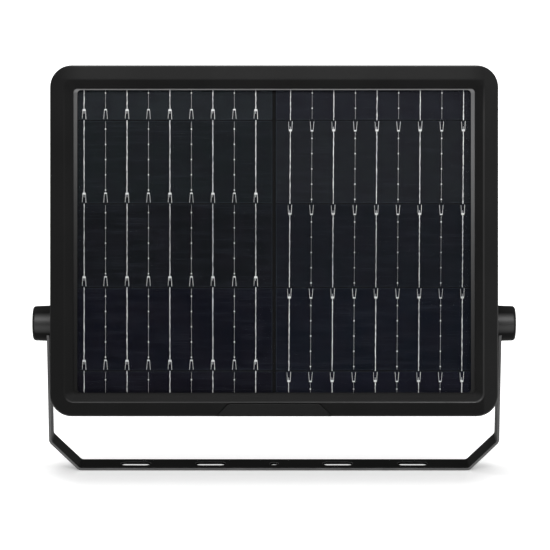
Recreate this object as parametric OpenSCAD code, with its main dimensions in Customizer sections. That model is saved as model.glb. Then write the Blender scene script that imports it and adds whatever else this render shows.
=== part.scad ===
// Solar flood light: a flat head with a solar panel on one side and an LED
// lamp on the other, held between the arms of a U-shaped mounting bracket.
// Origin: centre of the underside of the bracket's base. X runs along the
// tilt axis, +Z is up, and the solar panel faces -Y.

/* [Head] */
// Width of the head
body_w = 360; // [300:5:440]
// Height of the head
body_h = 282; // [282:2:340]
// Depth of the head from the solar face to the lamp face
body_d = 46; // [44:1:60]
// Outer corner radius of the head
corner_r = 17.5; // [14:0.5:24]
// Wall of the frame's skirt and of the lamp housing
wall = 2.5; // [2:0.5:3]
// Chamfer around the lamp face
edge_chamfer = 4; // [3:0.5:5]
// Thickness of the lamp face
lamp_face_t = 2.5; // [2:0.5:3]
// Seam between the solar frame and the lamp housing, filled by a seal
seam_t = 1; // [0.6:0.2:1.4]

/* [Solar frame] */
// Depth of the solar frame
frame_d = 14; // [13:0.5:16]
// Thickness of the frame's front plate
front_t = 3; // [2.5:0.5:4]
// Flat rim around the bevel
rim_w = 11.3; // [10.5:0.1:14]
// Width of the bevel that slopes in to the glass
bevel_w = 7.2; // [5:0.2:9]
// Depth of the bevel
bevel_d = 5; // [3:0.5:5.5]
// Corner radius where the bevel starts
bevel_r = 7.5; // [6:0.5:10]
// Corner radius of the glass opening
opening_r = 3; // [2:0.5:5]
// Depth from the solar face to the seat of the panel
seat_d = 6; // [6:0.5:7]
// Overlap of the frame's lip over the panel
lip_w = 5; // [4:0.5:6]
// Rib around the panel's pocket
pocket_rib = 2; // [1.5:0.5:2.5]

/* [Chin cover] */
// Width of the chin cover at the head's bottom edge
chin_bottom_w = 94.2; // [60:1:120]
// Width of the chin cover at its top
chin_top_w = 74.2; // [40:1:100]
// Height of the chin cover
chin_h = 10.5; // [8:0.5:10.5]
// Thickness of the chin cover
chin_t = 2.2; // [1.5:0.1:2.5]
// Radius of the chin cover's top corners
chin_r = 3; // [1:0.5:4]

/* [Solar panel] */
// Gasket between the frame's lip and the glass
gasket_t = 0.8; // [0.5:0.1:1.2]
// Width of the gasket that shows beside the glass, at its left and right
gasket_side = 3; // [1:0.2:4]
// Width of the gasket that shows above the glass
gasket_top = 1; // [0.4:0.1:2]
// Width of the gasket that shows below the glass
gasket_bottom = 0.4; // [0.4:0.1:2]
// Thickness of the glass
glass_t = 3.2; // [2.5:0.1:4]
// Thickness of a tabbing ribbon
ribbon_t = 0.2; // [0.1:0.1:0.3]
// Thickness of a solar cell
cell_t = 0.4; // [0.2:0.1:0.5]
// Thickness of the backsheet
sheet_t = 0.6; // [0.4:0.1:1]
// Width of a solar cell
cell_w = 162.8; // [120:0.2:180]
// Gap between the two strings of cells
string_gap = 3.2; // [2:0.2:5]
// Height from one cell to the next in a string
cell_pitch = 67.4; // [50:0.2:80]
// Gap between two cells of a string
cell_gap = 1.4; // [0.8:0.2:2]
// Height of the first cell boundary above the head's centre
first_boundary = 97.4; // [80:0.2:110]
// Pitch of the busbars on a cell
busbar_pitch = 17.4; // [14:0.1:20]
// Width of the wide ribbons
wide_ribbon = 1.3; // [1:0.1:1.6]
// Width of the narrow ribbons
narrow_ribbon = 0.7; // [0.4:0.1:1]

/* [Lamp] */
// Width of the clear light cover
cover_w = 300; // [240:5:300]
// Height of the clear light cover
cover_h = 146; // [100:2:146]
// Thickness of the light cover
cover_t = 3; // [2.5:0.5:3]
// Height of the light cover's centre above the head's bottom edge
cover_rise = 187; // [187:1:189]
// Width of the ledge that carries the light cover
ledge_w = 6; // [5:0.5:7]
// Thickness of the light cover's seal
cover_seal_t = 0.8; // [0.5:0.1:1]
// Depth of the reflector tray behind its flange
tray_d = 9; // [7:0.5:9]
// Wall of the reflector tray
tray_t = 1.5; // [1:0.5:2]
// Number of LED chips across
led_columns = 18; // [10:1:24]
// Number of LED chips up
led_rows = 8; // [4:1:9]

/* [Power] */
// Diameter of a battery cell
battery_diameter = 26; // [18:0.5:26]
// Length of a battery cell
battery_length = 65; // [50:1:65]
// Spacing from one battery cell to the next
battery_pitch = 27.5; // [27:0.5:28]
// Height of the battery cells above the head's bottom edge
battery_rise = 37; // [36:0.5:38]
// Height of the controller board's centre above the head's bottom edge
controller_rise = 77.2; // [76:0.2:78]
// Thickness of the circuit boards
board_t = 1.6; // [1.2:0.2:2]
// Width of the controller board
controller_w = 80; // [60:2:80]
// Height of the controller board
controller_h = 56; // [40:2:60]

/* [Sensor and switch] */
// Height of the sensor and the button above the head's bottom edge
sensor_rise = 21; // [20.5:0.5:22]
// Outer radius of the motion sensor's dome
dome_r = 12; // [9:0.5:12]
// Radius of the power button
button_r = 6; // [4:0.5:8]
// Travel of the power button
button_travel = 1.5; // [1:0.1:1.8]
// Height of the power button above the lamp face
button_out = 1.8; // [1.8:0.1:3]

/* [Bracket] */
// Width of the bracket's strip
strip_w = 25; // [20:1:25]
// Thickness of the bracket's strip
strip_t = 2; // [1.5:0.5:3]
// Height of the tilt axis above the base's underside
pivot_h = 121.5; // [110:0.5:150]
// Gap between the head's side and the arm, filled by the friction washer
arm_gap = 2.5; // [1.5:0.1:4]
// Size of the bend between the base and an arm
bend = 24; // [15:1:30]
// Width of a mounting slot
slot_w = 9; // [7:0.5:11]
// Length of a mounting slot
slot_l = 25; // [15:1:30]
// Distance from the centre to an inner slot
inner_slot_x = 52.5; // [40:0.5:60]
// Distance from the centre to an outer slot
outer_slot_x = 114.3; // [100:0.1:120]
// Diameter of the centre hole
centre_hole = 7.5; // [5:0.5:10]

/* [Pivot] */
// Depth of the tilt axis behind the solar face
pivot_in = 32; // [30:0.5:32]
// Height of the head's centre above the tilt axis
pivot_drop = 66.8; // [60:0.2:70]
// How far the head leans back at rest, in degrees
rest_tilt = 13; // [0:1:20]
// Radius of the pivot bolt's shank
bolt_r = 4; // [3:0.5:4]
// Radial running clearance of the bolt
bolt_clearance = 0.06; // [0.02:0.01:0.1]
// Radius of the bolt's head
bolt_head_r = 6.5; // [6:0.5:7]
// Height of the bolt's head
bolt_head_h = 5; // [4:0.5:6]
// Length of the pivot cap beyond the head's side
cap_reach = 17.2; // [17:0.1:20]
// Radius of the pivot cap beside the head
cap_r = 14.2; // [14.2:0.1:16]
// Radius of the pivot cap at its outer end
cap_end_r = 13.35; // [12.8:0.05:15]
// Clearance of the pivot cap around the arm
cap_clearance = 0.2; // [0.1:0.05:0.3]

/* [Hidden] */
$fn = 64;
hull_fn = 32;
arc_steps = 6;
cut = 1;
skin = 0.02;

// Depths in the head's own frame, whose origin is on the tilt axis
front_y = -pivot_in;
back_y = front_y + body_d;
frame_back_y = front_y + frame_d - seam_t / 2;
housing_front_y = front_y + frame_d + seam_t / 2;
seat_y = front_y + seat_d;
glass_y = seat_y + gasket_t;
ribbon_y = glass_y + glass_t;
cell_y = ribbon_y + ribbon_t;
sheet_y = cell_y + cell_t;
sheet_back_y = sheet_y + sheet_t;
inner_y = back_y - lamp_face_t;

// Heights in the head's own frame
centre_z = pivot_drop;
bottom_z = centre_z - body_h / 2;
cover_z = bottom_z + cover_rise;
sensor_z = bottom_z + sensor_rise;
battery_z = bottom_z + battery_rise;
battery_top_z = battery_z + battery_length;

// Solar frame
bevel_outer_w = body_w - 2 * rim_w;
bevel_outer_h = body_h - 2 * rim_w;
opening_w = bevel_outer_w - 2 * bevel_w;
opening_h = bevel_outer_h - 2 * bevel_w;
pocket_w = opening_w + 2 * lip_w;
pocket_h = opening_h + 2 * lip_w;
pocket_r = 6;
chin_gap = 0.15;
chin_backing = 2.5;
chin_backing_margin = 4;
chin_corner_from = 30;
seal_inset = 0.5;
seal_inner_gap = 0.3;

// Screws that hold the solar frame to the lamp housing
screw_r = 2;
screw_clearance = 0.2;
screw_grip = 0.05;
screw_head_r = 3.4;
screw_head_h = 2.6;
screw_head_floor = screw_head_h / 3;
counterbore_r = 3.6;
counterbore_d = 5;
boss_r = 6;
edge_inset = 8;
corner_inset = 11.5;
side_screw_rise = 30;
long_screw_x = [62, 110];
screw_floor = 1.5;
screw_tip = 2;

// Panel
panel_gap = 1;
panel_w = pocket_w - 2 * panel_gap;
panel_h = pocket_h - 2 * panel_gap;
panel_r = 4;
gasket_gap = 0.3;
cell_margin = 1;
cell_field_h = panel_h - 2 * cell_margin;
cell_rows = 5;
busbars = 9;
string_x = (cell_w + string_gap) / 2;
box_w = 56;
box_h = 36;
box_d = 9;
box_x = 110;
box_rise = 155;
box_z = bottom_z + box_rise;

// Light window
cover_r = 8;
cover_gap = 0.4;
cover_sink = 0.2;
cover_seal_gap = 1;
ledge_t = 2.5;
recess_d = cover_t + cover_seal_t + cover_sink;
block_t = recess_d + ledge_t;
block_margin = 10;
flange_margin = 7;
window_w = cover_w - 2 * ledge_w;
window_h = cover_h - 2 * ledge_w;
window_r = 5;
tray_gap = 1;
flange_y = back_y - block_t - tray_t;
tray_floor_y = flange_y - tray_d;
tray_screw_out = 3.5;
tray_screw_up = 1 / 3;
tray_screw_across = 1 / 4;
led_board_y = tray_floor_y + tray_t;
led_face_y = led_board_y + board_t;
led_margin = 4;
led_board_r = 1.5;
led_w = 3.5;
led_h = 2.8;
led_t = 0.8;
led_edge = 14;

// Small screws of the tray, the boards and the cradle
small_r = 1.45;
small_grip = 0.05;
small_clearance = 0.2;
small_head_r = 2.6;
small_head_h = 2;
small_length = 7;
screw_hole_spare = 0.5;
tray_screw_length = 6;
post_r = 3.5;

// Battery
battery_r = battery_diameter / 2;
battery_count = 4;
battery_fit = 0.1;
cradle_floor = 3;
battery_y = inner_y - cradle_floor - battery_r;
cradle_wrap = 3;
cradle_side = 1.5;
cradle_end = 2;
cradle_w = battery_pitch * (battery_count - 1) + 2 * battery_r + 2 * cradle_side;
ear_w = 9;
ear_h = 10;
ear_post = 5.5;
ear_x = cradle_w / 2 + ear_w / 2;
ear_z = battery_z + battery_length / 2;
tab_t = 0.3;
tab_w = 8;
tab_end_gap = 3;
tab_l = battery_pitch * battery_count - 2 * tab_end_gap;

// Controller
controller_x = 112;
controller_z = bottom_z + controller_rise;
controller_post = 9.9;
controller_y = inner_y - controller_post - board_t;
board_hole_inset = 4;
coil_at = [6, 8];
coil_r = 6;
coil_h = 7;
capacitor_at = [[22, 8], [22, -4]];
capacitor_r = 4;
capacitor_h = 9;
chip_at = [-2, -7];
chip_w = 12;
chip_h = 6;
chip_t = 2;
transistor_at = [11, -15];
transistor_w = 6;
transistor_t = 3;

// Sensor board
sensor_board_w = 156;
sensor_board_h = 26;
sensor_post = 6.9;
sensor_board_y = inner_y - sensor_post - board_t;
sensor_face_y = inner_y - sensor_post;
dome_t = 1;
dome_gap = 0.1;
flange_out = 2;
flange_t = 1.5;
pir_can_r = 4.6;
pir_can_h = 4;
button_x = -50;
button_gap = 0.1;
button_flange_out = 1.2;
button_flange_t = 1.6;
plunger_r = 1.6;
plunger_gap = 0.1;
plunger_in = 0.3;
switch_w = 8;
switch_top = 4;
switch_spare = 0.6;
light_x = 49;
light_pitch = 6;
light_count = 4;
light_r = 1.5;
light_gap = 0.1;

// Pivot hardware along X, from the head's side outward
side_x = body_w / 2;
arm_in_x = side_x + arm_gap;
arm_out_x = arm_in_x + strip_t;
flat_washer_t = 1.6;
spring_washer_t = 2;
bolt_seat_x = arm_out_x + flat_washer_t + spring_washer_t;
bolt_length = 22;
washer_gap = 0.05;
washer_r = strip_w / 2 - 1.5;
flat_washer_r = 8;
spring_washer_r = 7.2;
spring_cut = 1.2;
insert_r = 6;
insert_l = 12;
insert_sink = 1;
insert_floor = 2;
insert_grip = 0.02;
pivot_block_r = 10;
hex_socket_r = 3.4;
hex_socket_d = 3;
cap_gap = 0.3;
cap_wall_end = 1.7;
cap_inner_r = strip_w / 2 + cap_clearance;
cap_round = 2.5;
cap_notch_gap = 0.3;

// Leads: radius, sides, and routes from one joint to the next, with heights
// above the head's bottom edge
lead_r = 1.1;
lead_sides = 8;
panel_lead_route = [
  [105, -15, 136.9], [105, -15, 126], [105, -13, 116], [105, -9, 106], [105, -6, 98], [105, -3, 94],
  [105, -0.1, 94]
];
panel_lead_step = [9, 0, 0];
led_lead_route = [
  [128, -0.1, 96], [128, -3, 96], [128, -7, 99], [128, -9, 104], [128, -9, 120], [128, -7.5, 124],
  [128, -5, 126], [128, -1.6, 126]
];
led_lead_step = [8, 0, 0];
led_lead_hole = 126;
battery_top_route = [
  [48, -4.5, 103.6], [54, -5, 103.6], [60, -7, 102], [66, -9, 100], [72, -9, 97], [77, -7, 94],
  [80, -4, 92], [80, -0.1, 92]
];
battery_bottom_route = [
  [48, -4.5, 35.4], [54, -5, 35.4], [60, -7, 37], [66, -9, 40], [72, -9, 45], [77, -7, 51],
  [80, -4, 55], [80, -0.1, 55]
];
sensor_lead_route = [
  [68, 2.9, 24], [68, 0.5, 24], [70, -2, 25], [74, -5, 29], [79, -6, 36], [84, -6, 43], [88, -5, 50],
  [90, -3, 54], [90, -0.1, 54]
];
sensor_lead_step = [-4, 0, 2];

function arc(cx, cy, r, from, to, steps) =
  [for (i = [0:steps]) let (a = from + (to - from) * i / steps) [cx + r * cos(a), cy + r * sin(a)]];

function row_z(i) = centre_z + first_boundary - (i - 1) * cell_pitch;

// Head frame and shapes drawn in the head's face plane
module at_head() {
  translate([0, 0, pivot_h])
    rotate([-rest_tilt, 0, 0])
      children();
}

module slab(y0, y1) {
  translate([0, y1, 0])
    rotate([90, 0, 0])
      linear_extrude(y1 - y0)
        children();
}

module rounded_rect(w, h, r) {
  square([w - 2 * r, h], center = true);
  square([w, h - 2 * r], center = true);
  for (x = [-1, 1], y = [-1, 1])
    translate([x * (w / 2 - r), y * (h / 2 - r)])
      circle(r);
}

module plate(w, h, r, y0, y1, z = centre_z) {
  translate([0, 0, z])
    slab(y0, y1)
      rounded_rect(w, h, r);
}

module ring_plate(w, h, r, band, y0, y1, z = centre_z) {
  translate([0, 0, z])
    slab(y0, y1)
      difference() {
        rounded_rect(w, h, r);
        rounded_rect(w - 2 * band, h - 2 * band, max(r - band, 1));
      }
}

module rod_y(x, z, r, y0, y1) {
  translate([x, y0, z])
    rotate([-90, 0, 0])
      cylinder(h = y1 - y0, r = r);
}

module rod_x(r, x0, x1) {
  translate([x0, 0, 0])
    rotate([0, 90, 0])
      cylinder(h = x1 - x0, r = r);
}

module box_at(x0, x1, y0, y1, z0, z1) {
  translate([x0, y0, z0])
    cube([x1 - x0, y1 - y0, z1 - z0]);
}

module mirrored(side) {
  if (side > 0)
    children();
  else
    mirror([1, 0, 0])
      children();
}

// One lead: rings of points square to the route, joined into a closed tube
module lead(route, ref) {
  count = len(route);
  function along(i) = route[min(i + 1, count - 1)] - route[max(i - 1, 0)];
  function side(i) = cross(along(i), ref) / norm(cross(along(i), ref));
  function up(i) = cross(side(i), along(i)) / norm(cross(side(i), along(i)));
  points = [
    for (i = [0:count - 1], s = [0:lead_sides - 1])
      let (a = 360 * s / lead_sides) route[i] + lead_r * (cos(a) * side(i) + sin(a) * up(i))
  ];
  walls = [
    for (i = [0:count - 2], s = [0:lead_sides - 1], half = [0, 1])
      let (t = (s + 1) % lead_sides, a = i * lead_sides, b = a + lead_sides)
        half == 0 ? [a + s, b + s, b + t] : [a + s, b + t, a + t]
  ];
  first_cap = [for (s = [0:lead_sides - 1]) s];
  last_cap = [for (s = [lead_sides - 1:-1:0]) (count - 1) * lead_sides + s];
  translate([0, 0, bottom_z])
    polyhedron(points = points, faces = concat(walls, [first_cap], [last_cap]), convexity = 6);
}

// Places of the long screws, as offsets from the head's centre
module each_long_screw() {
  for (x = [-1, 1], z = [-1, 1]) {
    translate([x * (body_w / 2 - corner_inset), 0, centre_z + z * (body_h / 2 - corner_inset)])
      children();
    translate([x * long_screw_x[z < 0 ? 1 : 0], 0, centre_z + z * (body_h / 2 - edge_inset)])
      children();
  }
  for (x = [-1, 1])
    translate([x * (body_w / 2 - edge_inset), 0, centre_z + side_screw_rise])
      children();
}

module each_tray_screw() {
  for (x = [-1, 1], z = [-1, 1]) {
    translate([x * (cover_w / 2 + tray_screw_out), 0, cover_z + z * cover_h * tray_screw_up])
      children();
    translate([x * cover_w * tray_screw_across, 0, cover_z + z * (cover_h / 2 + tray_screw_out)])
      children();
  }
}

module each_controller_hole() {
  for (x = [-1, 1], z = [-1, 1])
    translate([
      controller_x + x * (controller_w / 2 - board_hole_inset), 0,
      controller_z + z * (controller_h / 2 - board_hole_inset)
    ])
      children();
}

module each_sensor_hole() {
  for (x = [-1, 1])
    translate([x * (sensor_board_w / 2 - board_hole_inset), 0, sensor_z])
      children();
}

module each_ear() {
  for (x = [-1, 1])
    translate([x * ear_x, 0, ear_z])
      children();
}

module chin_outline(gap) {
  half_top = chin_top_w / 2 - gap;
  half_bottom = chin_bottom_w / 2 - gap;
  top = -body_h / 2 + chin_h - gap;
  translate([0, centre_z])
    polygon(concat(
      [[-half_bottom, -body_h / 2], [half_bottom, -body_h / 2]],
      arc(half_top - chin_r, top - chin_r, chin_r, chin_corner_from, 90, arc_steps),
      arc(-half_top + chin_r, top - chin_r, chin_r, 90, 180 - chin_corner_from, arc_steps)
    ));
}

module solar_frame() {
  color("#26282b")
    at_head()
      difference() {
        union() {
          difference() {
            plate(body_w, body_h, corner_r, front_y, frame_back_y);
            translate([0, 0, centre_z])
              slab(front_y + front_t, frame_back_y + cut)
                difference() {
                  rounded_rect(body_w - 2 * wall, body_h - 2 * wall, corner_r - wall);
                  rounded_rect(pocket_w + 2 * pocket_rib, pocket_h + 2 * pocket_rib, pocket_r + pocket_rib);
                }
          }
          each_long_screw()
            rod_y(0, 0, boss_r, front_y + front_t - skin, frame_back_y);
          box_at(
            -chin_bottom_w / 2 - chin_backing_margin, chin_bottom_w / 2 + chin_backing_margin,
            front_y + front_t - skin, front_y + front_t + chin_backing,
            bottom_z + wall - skin, bottom_z + chin_h + wall
          );
        }
        hull() {
          plate(bevel_outer_w, bevel_outer_h, bevel_r, front_y - skin, front_y, $fn = hull_fn);
          plate(opening_w, opening_h, opening_r, front_y + bevel_d, front_y + bevel_d + skin, $fn = hull_fn);
        }
        plate(opening_w, opening_h, opening_r, front_y, seat_y + cut);
        plate(pocket_w, pocket_h, pocket_r, seat_y, frame_back_y + cut);
        each_long_screw()
          rod_y(0, 0, screw_r + screw_grip, front_y + front_t + screw_floor, frame_back_y + cut);
        slab(front_y - cut, front_y + chin_t)
          intersection() {
            chin_outline(0);
            translate([0, centre_z])
              square([body_w, body_h + cut], center = true);
          }
      }
}

module chin_cover() {
  color("#2c2e31")
    at_head()
      slab(front_y, front_y + chin_t)
        chin_outline(chin_gap);
}

module panel_gasket() {
  color("#8b8f93")
    at_head()
      translate([0, 0, centre_z])
        slab(seat_y, glass_y)
          difference() {
            rounded_rect(pocket_w - 2 * gasket_gap, pocket_h - 2 * gasket_gap, pocket_r);
            translate([0, (gasket_bottom - gasket_top) / 2])
              rounded_rect(opening_w - 2 * gasket_side, opening_h - gasket_top - gasket_bottom, opening_r);
          }
}

module panel_glass() {
  color("#31414d", 0.35)
    at_head()
      plate(panel_w, panel_h, panel_r, glass_y, ribbon_y);
}

module ribbons(side) {
  color("#c9ccd0")
    at_head()
      for (i = [0:busbars - 1]) {
        ribbon = i % 2 == 0 ? wide_ribbon : narrow_ribbon;
        x = side * string_x + (i - (busbars - 1) / 2) * busbar_pitch;
        box_at(x - ribbon / 2, x + ribbon / 2, ribbon_y, cell_y,
          centre_z - cell_field_h / 2, centre_z + cell_field_h / 2);
      }
}

module cell_string(side) {
  color("#1b2030")
    at_head()
      for (i = [0:cell_rows - 1]) {
        low = i == cell_rows - 1 ? centre_z - cell_field_h / 2 : row_z(i + 1) + cell_gap / 2;
        high = i == 0 ? centre_z + cell_field_h / 2 : row_z(i) - cell_gap / 2;
        box_at(side * string_x - cell_w / 2, side * string_x + cell_w / 2, cell_y, sheet_y, low, high);
      }
}

module panel_backsheet() {
  color("#e8e8e4")
    at_head()
      plate(panel_w, panel_h, panel_r, sheet_y, sheet_back_y);
}

module panel_junction_box() {
  color("#202020")
    at_head()
      box_at(box_x - box_w / 2, box_x + box_w / 2, sheet_back_y, sheet_back_y + box_d, box_z - box_h / 2,
        box_z + box_h / 2);
}

module lamp_housing() {
  face_inset = edge_chamfer - 1;
  color("#2a2c2f")
    at_head()
      difference() {
        union() {
          difference() {
            hull() {
              plate(body_w, body_h, corner_r, housing_front_y, back_y - edge_chamfer, $fn = hull_fn);
              plate(body_w - 2 * edge_chamfer, body_h - 2 * edge_chamfer, corner_r - edge_chamfer,
                back_y - skin, back_y, $fn = hull_fn);
            }
            hull() {
              plate(body_w - 2 * wall, body_h - 2 * wall, corner_r - wall,
                housing_front_y - cut, inner_y - face_inset, $fn = hull_fn);
              plate(body_w - 2 * wall - 2 * face_inset, body_h - 2 * wall - 2 * face_inset,
                corner_r - wall - face_inset, inner_y - skin, inner_y, $fn = hull_fn);
            }
          }
          each_long_screw()
            rod_y(0, 0, boss_r, housing_front_y, inner_y + skin);
          plate(cover_w + 2 * block_margin, cover_h + 2 * block_margin, cover_r, back_y - block_t,
            inner_y + skin, cover_z);
          each_controller_hole()
            rod_y(0, 0, post_r, inner_y - controller_post, inner_y + skin);
          each_sensor_hole()
            rod_y(0, 0, post_r, inner_y - sensor_post, inner_y + skin);
          each_ear()
            rod_y(0, 0, post_r, inner_y - ear_post, inner_y + skin);
          for (side = [-1, 1])
            mirrored(side)
              box_at(side_x - insert_sink - insert_l - insert_floor, side_x - wall + skin, -pivot_block_r,
                inner_y + skin, -pivot_block_r, pivot_block_r);
        }
        plate(cover_w, cover_h, cover_r, back_y - recess_d, back_y + cut, cover_z);
        plate(window_w, window_h, window_r, back_y - block_t - cut, back_y, cover_z);
        each_long_screw() {
          rod_y(0, 0, screw_r + screw_clearance, housing_front_y - cut, back_y);
          rod_y(0, 0, counterbore_r, back_y - counterbore_d, back_y + cut);
        }
        each_tray_screw()
          rod_y(0, 0, small_r + small_grip, back_y - block_t - cut, back_y - block_t + tray_screw_length);
        each_controller_hole()
          rod_y(0, 0, small_r + small_grip, controller_y, controller_y + small_length + screw_hole_spare);
        each_sensor_hole()
          rod_y(0, 0, small_r + small_grip, sensor_board_y, sensor_board_y + small_length + screw_hole_spare);
        each_ear()
          rod_y(0, 0, small_r + small_grip, inner_y - ear_post - cut, inner_y);
        rod_y(0, sensor_z, dome_r + dome_gap, inner_y - cut, back_y + cut);
        rod_y(button_x, sensor_z, button_r + button_gap, inner_y - cut, back_y + cut);
        for (i = [0:light_count - 1])
          rod_y(light_x + (i - (light_count - 1) / 2) * light_pitch, sensor_z, light_r + light_gap,
            inner_y - cut, back_y + cut);
        for (side = [-1, 1])
          mirrored(side) {
            rod_x(insert_r + insert_grip, side_x - insert_sink - insert_l, side_x + cut);
            rod_x(bolt_r + screw_clearance, side_x - insert_sink - insert_l - insert_floor - cut, side_x);
          }
      }
}

module housing_seal() {
  color("#151515")
    at_head()
      ring_plate(body_w - 2 * seal_inset, body_h - 2 * seal_inset, corner_r - seal_inset,
        wall - seal_inset - seal_inner_gap, frame_back_y, housing_front_y);
}

module housing_screws() {
  color("#55585c")
    at_head()
      each_long_screw() {
        rod_y(0, 0, screw_r, front_y + front_t + screw_tip, back_y - counterbore_d);
        difference() {
          rod_y(0, 0, screw_head_r, back_y - counterbore_d, back_y - counterbore_d + screw_head_h);
          translate([0, back_y - counterbore_d + screw_head_floor, 0])
            rotate([-90, 0, 0])
              cylinder(h = screw_head_h, r = screw_r, $fn = 6);
        }
      }
}

module light_cover() {
  color("#e8eef2", 0.4)
    at_head()
      plate(cover_w - 2 * cover_gap, cover_h - 2 * cover_gap, cover_r - cover_gap,
        back_y - cover_sink - cover_t, back_y - cover_sink, cover_z);
}

module light_cover_seal() {
  color("#151515")
    at_head()
      translate([0, 0, cover_z])
        slab(back_y - recess_d, back_y - recess_d + cover_seal_t)
          difference() {
            rounded_rect(cover_w - 2 * cover_seal_gap, cover_h - 2 * cover_seal_gap, cover_r - cover_seal_gap);
            rounded_rect(window_w + 2 * cover_seal_gap, window_h + 2 * cover_seal_gap,
              window_r + cover_seal_gap);
          }
}

module reflector_tray() {
  inner_w = window_w - 2 * tray_gap;
  inner_h = window_h - 2 * tray_gap;
  color("#f2f2f0")
    at_head()
      difference() {
        union() {
          plate(inner_w + 2 * tray_t, inner_h + 2 * tray_t, window_r, tray_floor_y, flange_y + tray_t,
            cover_z);
          plate(cover_w + 2 * flange_margin, cover_h + 2 * flange_margin, window_r, flange_y,
            flange_y + tray_t, cover_z);
        }
        plate(inner_w, inner_h, window_r - tray_t, led_board_y, back_y, cover_z);
        each_tray_screw()
          rod_y(0, 0, small_r + small_clearance, flange_y - cut, flange_y + tray_t + cut);
        for (i = [0, 1])
          translate(i * led_lead_step)
            rod_y(led_lead_route[0][0], bottom_z + led_lead_hole, lead_r + small_clearance,
              tray_floor_y - cut, led_board_y + cut);
      }
}

module tray_screws() {
  color("#9a9da1")
    at_head()
      each_tray_screw() {
        rod_y(0, 0, small_r, flange_y, flange_y + tray_screw_length);
        rod_y(0, 0, small_head_r, flange_y - small_head_h, flange_y);
      }
}

module led_board() {
  color("#d8dadc")
    at_head()
      plate(window_w - 2 * led_margin, window_h - 2 * led_margin, led_board_r, led_board_y, led_face_y,
        cover_z);
}

module led_chips() {
  step_x = (window_w - 2 * led_edge) / (led_columns - 1);
  step_z = (window_h - 2 * led_edge) / (led_rows - 1);
  color("#f3e27a")
    at_head()
      for (i = [0:led_columns - 1], j = [0:led_rows - 1])
        translate([
          (i - (led_columns - 1) / 2) * step_x, led_face_y + led_t / 2,
          cover_z + (j - (led_rows - 1) / 2) * step_z
        ])
          cube([led_w, led_t, led_h], center = true);
}

module battery_cell(i) {
  x = (i - (battery_count + 1) / 2) * battery_pitch;
  color("#2f6fb5")
    at_head()
      translate([x, battery_y, battery_z])
        cylinder(h = battery_length, r = battery_r);
}

module battery_cradle() {
  color("#3a3d40")
    at_head()
      difference() {
        union() {
          box_at(-cradle_w / 2, cradle_w / 2, battery_y - cradle_wrap, inner_y,
            battery_z + cradle_end, battery_top_z - cradle_end);
          each_ear()
            translate([0, inner_y - ear_post - board_t / 2, 0])
              cube([ear_w + skin, board_t, ear_h], center = true);
        }
        for (i = [1:battery_count])
          translate([(i - (battery_count + 1) / 2) * battery_pitch, battery_y, battery_z])
            cylinder(h = battery_length, r = battery_r + battery_fit);
        each_ear()
          rod_y(0, 0, small_r + small_clearance, inner_y - ear_post - board_t - cut,
            inner_y - ear_post + cut);
      }
}

module battery_tabs() {
  color("#b9bcc0")
    at_head()
      for (z = [battery_z - tab_t, battery_top_z])
        box_at(-tab_l / 2, tab_l / 2, battery_y - tab_w / 2, battery_y + tab_w / 2, z, z + tab_t);
}

module controller_board() {
  color("#1d6b3a")
    at_head()
      difference() {
        box_at(controller_x - controller_w / 2, controller_x + controller_w / 2,
          controller_y, controller_y + board_t,
          controller_z - controller_h / 2, controller_z + controller_h / 2);
        each_controller_hole()
          rod_y(0, 0, small_r + small_clearance, controller_y - cut, controller_y + board_t + cut);
      }
}

module controller_parts() {
  color("#30343a")
    at_head()
      translate([controller_x, controller_y, controller_z]) {
        rod_y(coil_at[0], coil_at[1], coil_r, -coil_h, 0);
        for (at = capacitor_at)
          rod_y(at[0], at[1], capacitor_r, -capacitor_h, 0);
        translate([chip_at[0], -chip_t / 2, chip_at[1]])
          cube([chip_w, chip_t, chip_h], center = true);
        translate([transistor_at[0], -transistor_t / 2, transistor_at[1]])
          cube([transistor_w, transistor_t, transistor_w], center = true);
      }
}

module small_screw(y) {
  rod_y(0, 0, small_r, y, y + small_length);
  rod_y(0, 0, small_head_r, y - small_head_h, y);
}

module board_screws() {
  color("#9a9da1")
    at_head() {
      each_controller_hole()
        small_screw(controller_y);
      each_sensor_hole()
        small_screw(sensor_board_y);
      each_ear()
        small_screw(inner_y - ear_post - board_t);
    }
}

module panel_leads() {
  color("#a32020")
    at_head()
      for (i = [0, 1])
        translate(i * panel_lead_step)
          lead(panel_lead_route, [1, 0, 0]);
}

module battery_leads() {
  color("#a32020")
    at_head() {
      lead(battery_top_route, [0, 0, 1]);
      lead(battery_bottom_route, [0, 0, 1]);
    }
}

module led_leads() {
  color("#d8d8d8")
    at_head()
      for (i = [0, 1])
        translate(i * led_lead_step)
          lead(led_lead_route, [1, 0, 0]);
}

module sensor_leads() {
  color("#d0b020")
    at_head()
      for (i = [0, 1])
        translate(i * sensor_lead_step)
          lead(sensor_lead_route, [0, 0, 1]);
}

module sensor_board() {
  color("#1d6b3a")
    at_head()
      difference() {
        box_at(-sensor_board_w / 2, sensor_board_w / 2, sensor_board_y, sensor_face_y,
          sensor_z - sensor_board_h / 2, sensor_z + sensor_board_h / 2);
        each_sensor_hole()
          rod_y(0, 0, small_r + small_clearance, sensor_board_y - cut, sensor_face_y + cut);
      }
}

module pir_element() {
  color("#b9bcc0")
    at_head()
      rod_y(0, sensor_z, pir_can_r, sensor_face_y, sensor_face_y + pir_can_h);
}

module pir_lens() {
  color("#eef0f0", 0.8)
    at_head()
      translate([0, inner_y, sensor_z]) {
        difference() {
          intersection() {
            sphere(dome_r);
            rod_y(0, 0, dome_r + cut, 0, dome_r + cut);
          }
          sphere(dome_r - dome_t);
        }
        difference() {
          rod_y(0, 0, dome_r + flange_out, -flange_t, 0);
          rod_y(0, 0, dome_r - dome_t, -flange_t - cut, cut);
        }
      }
}

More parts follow.
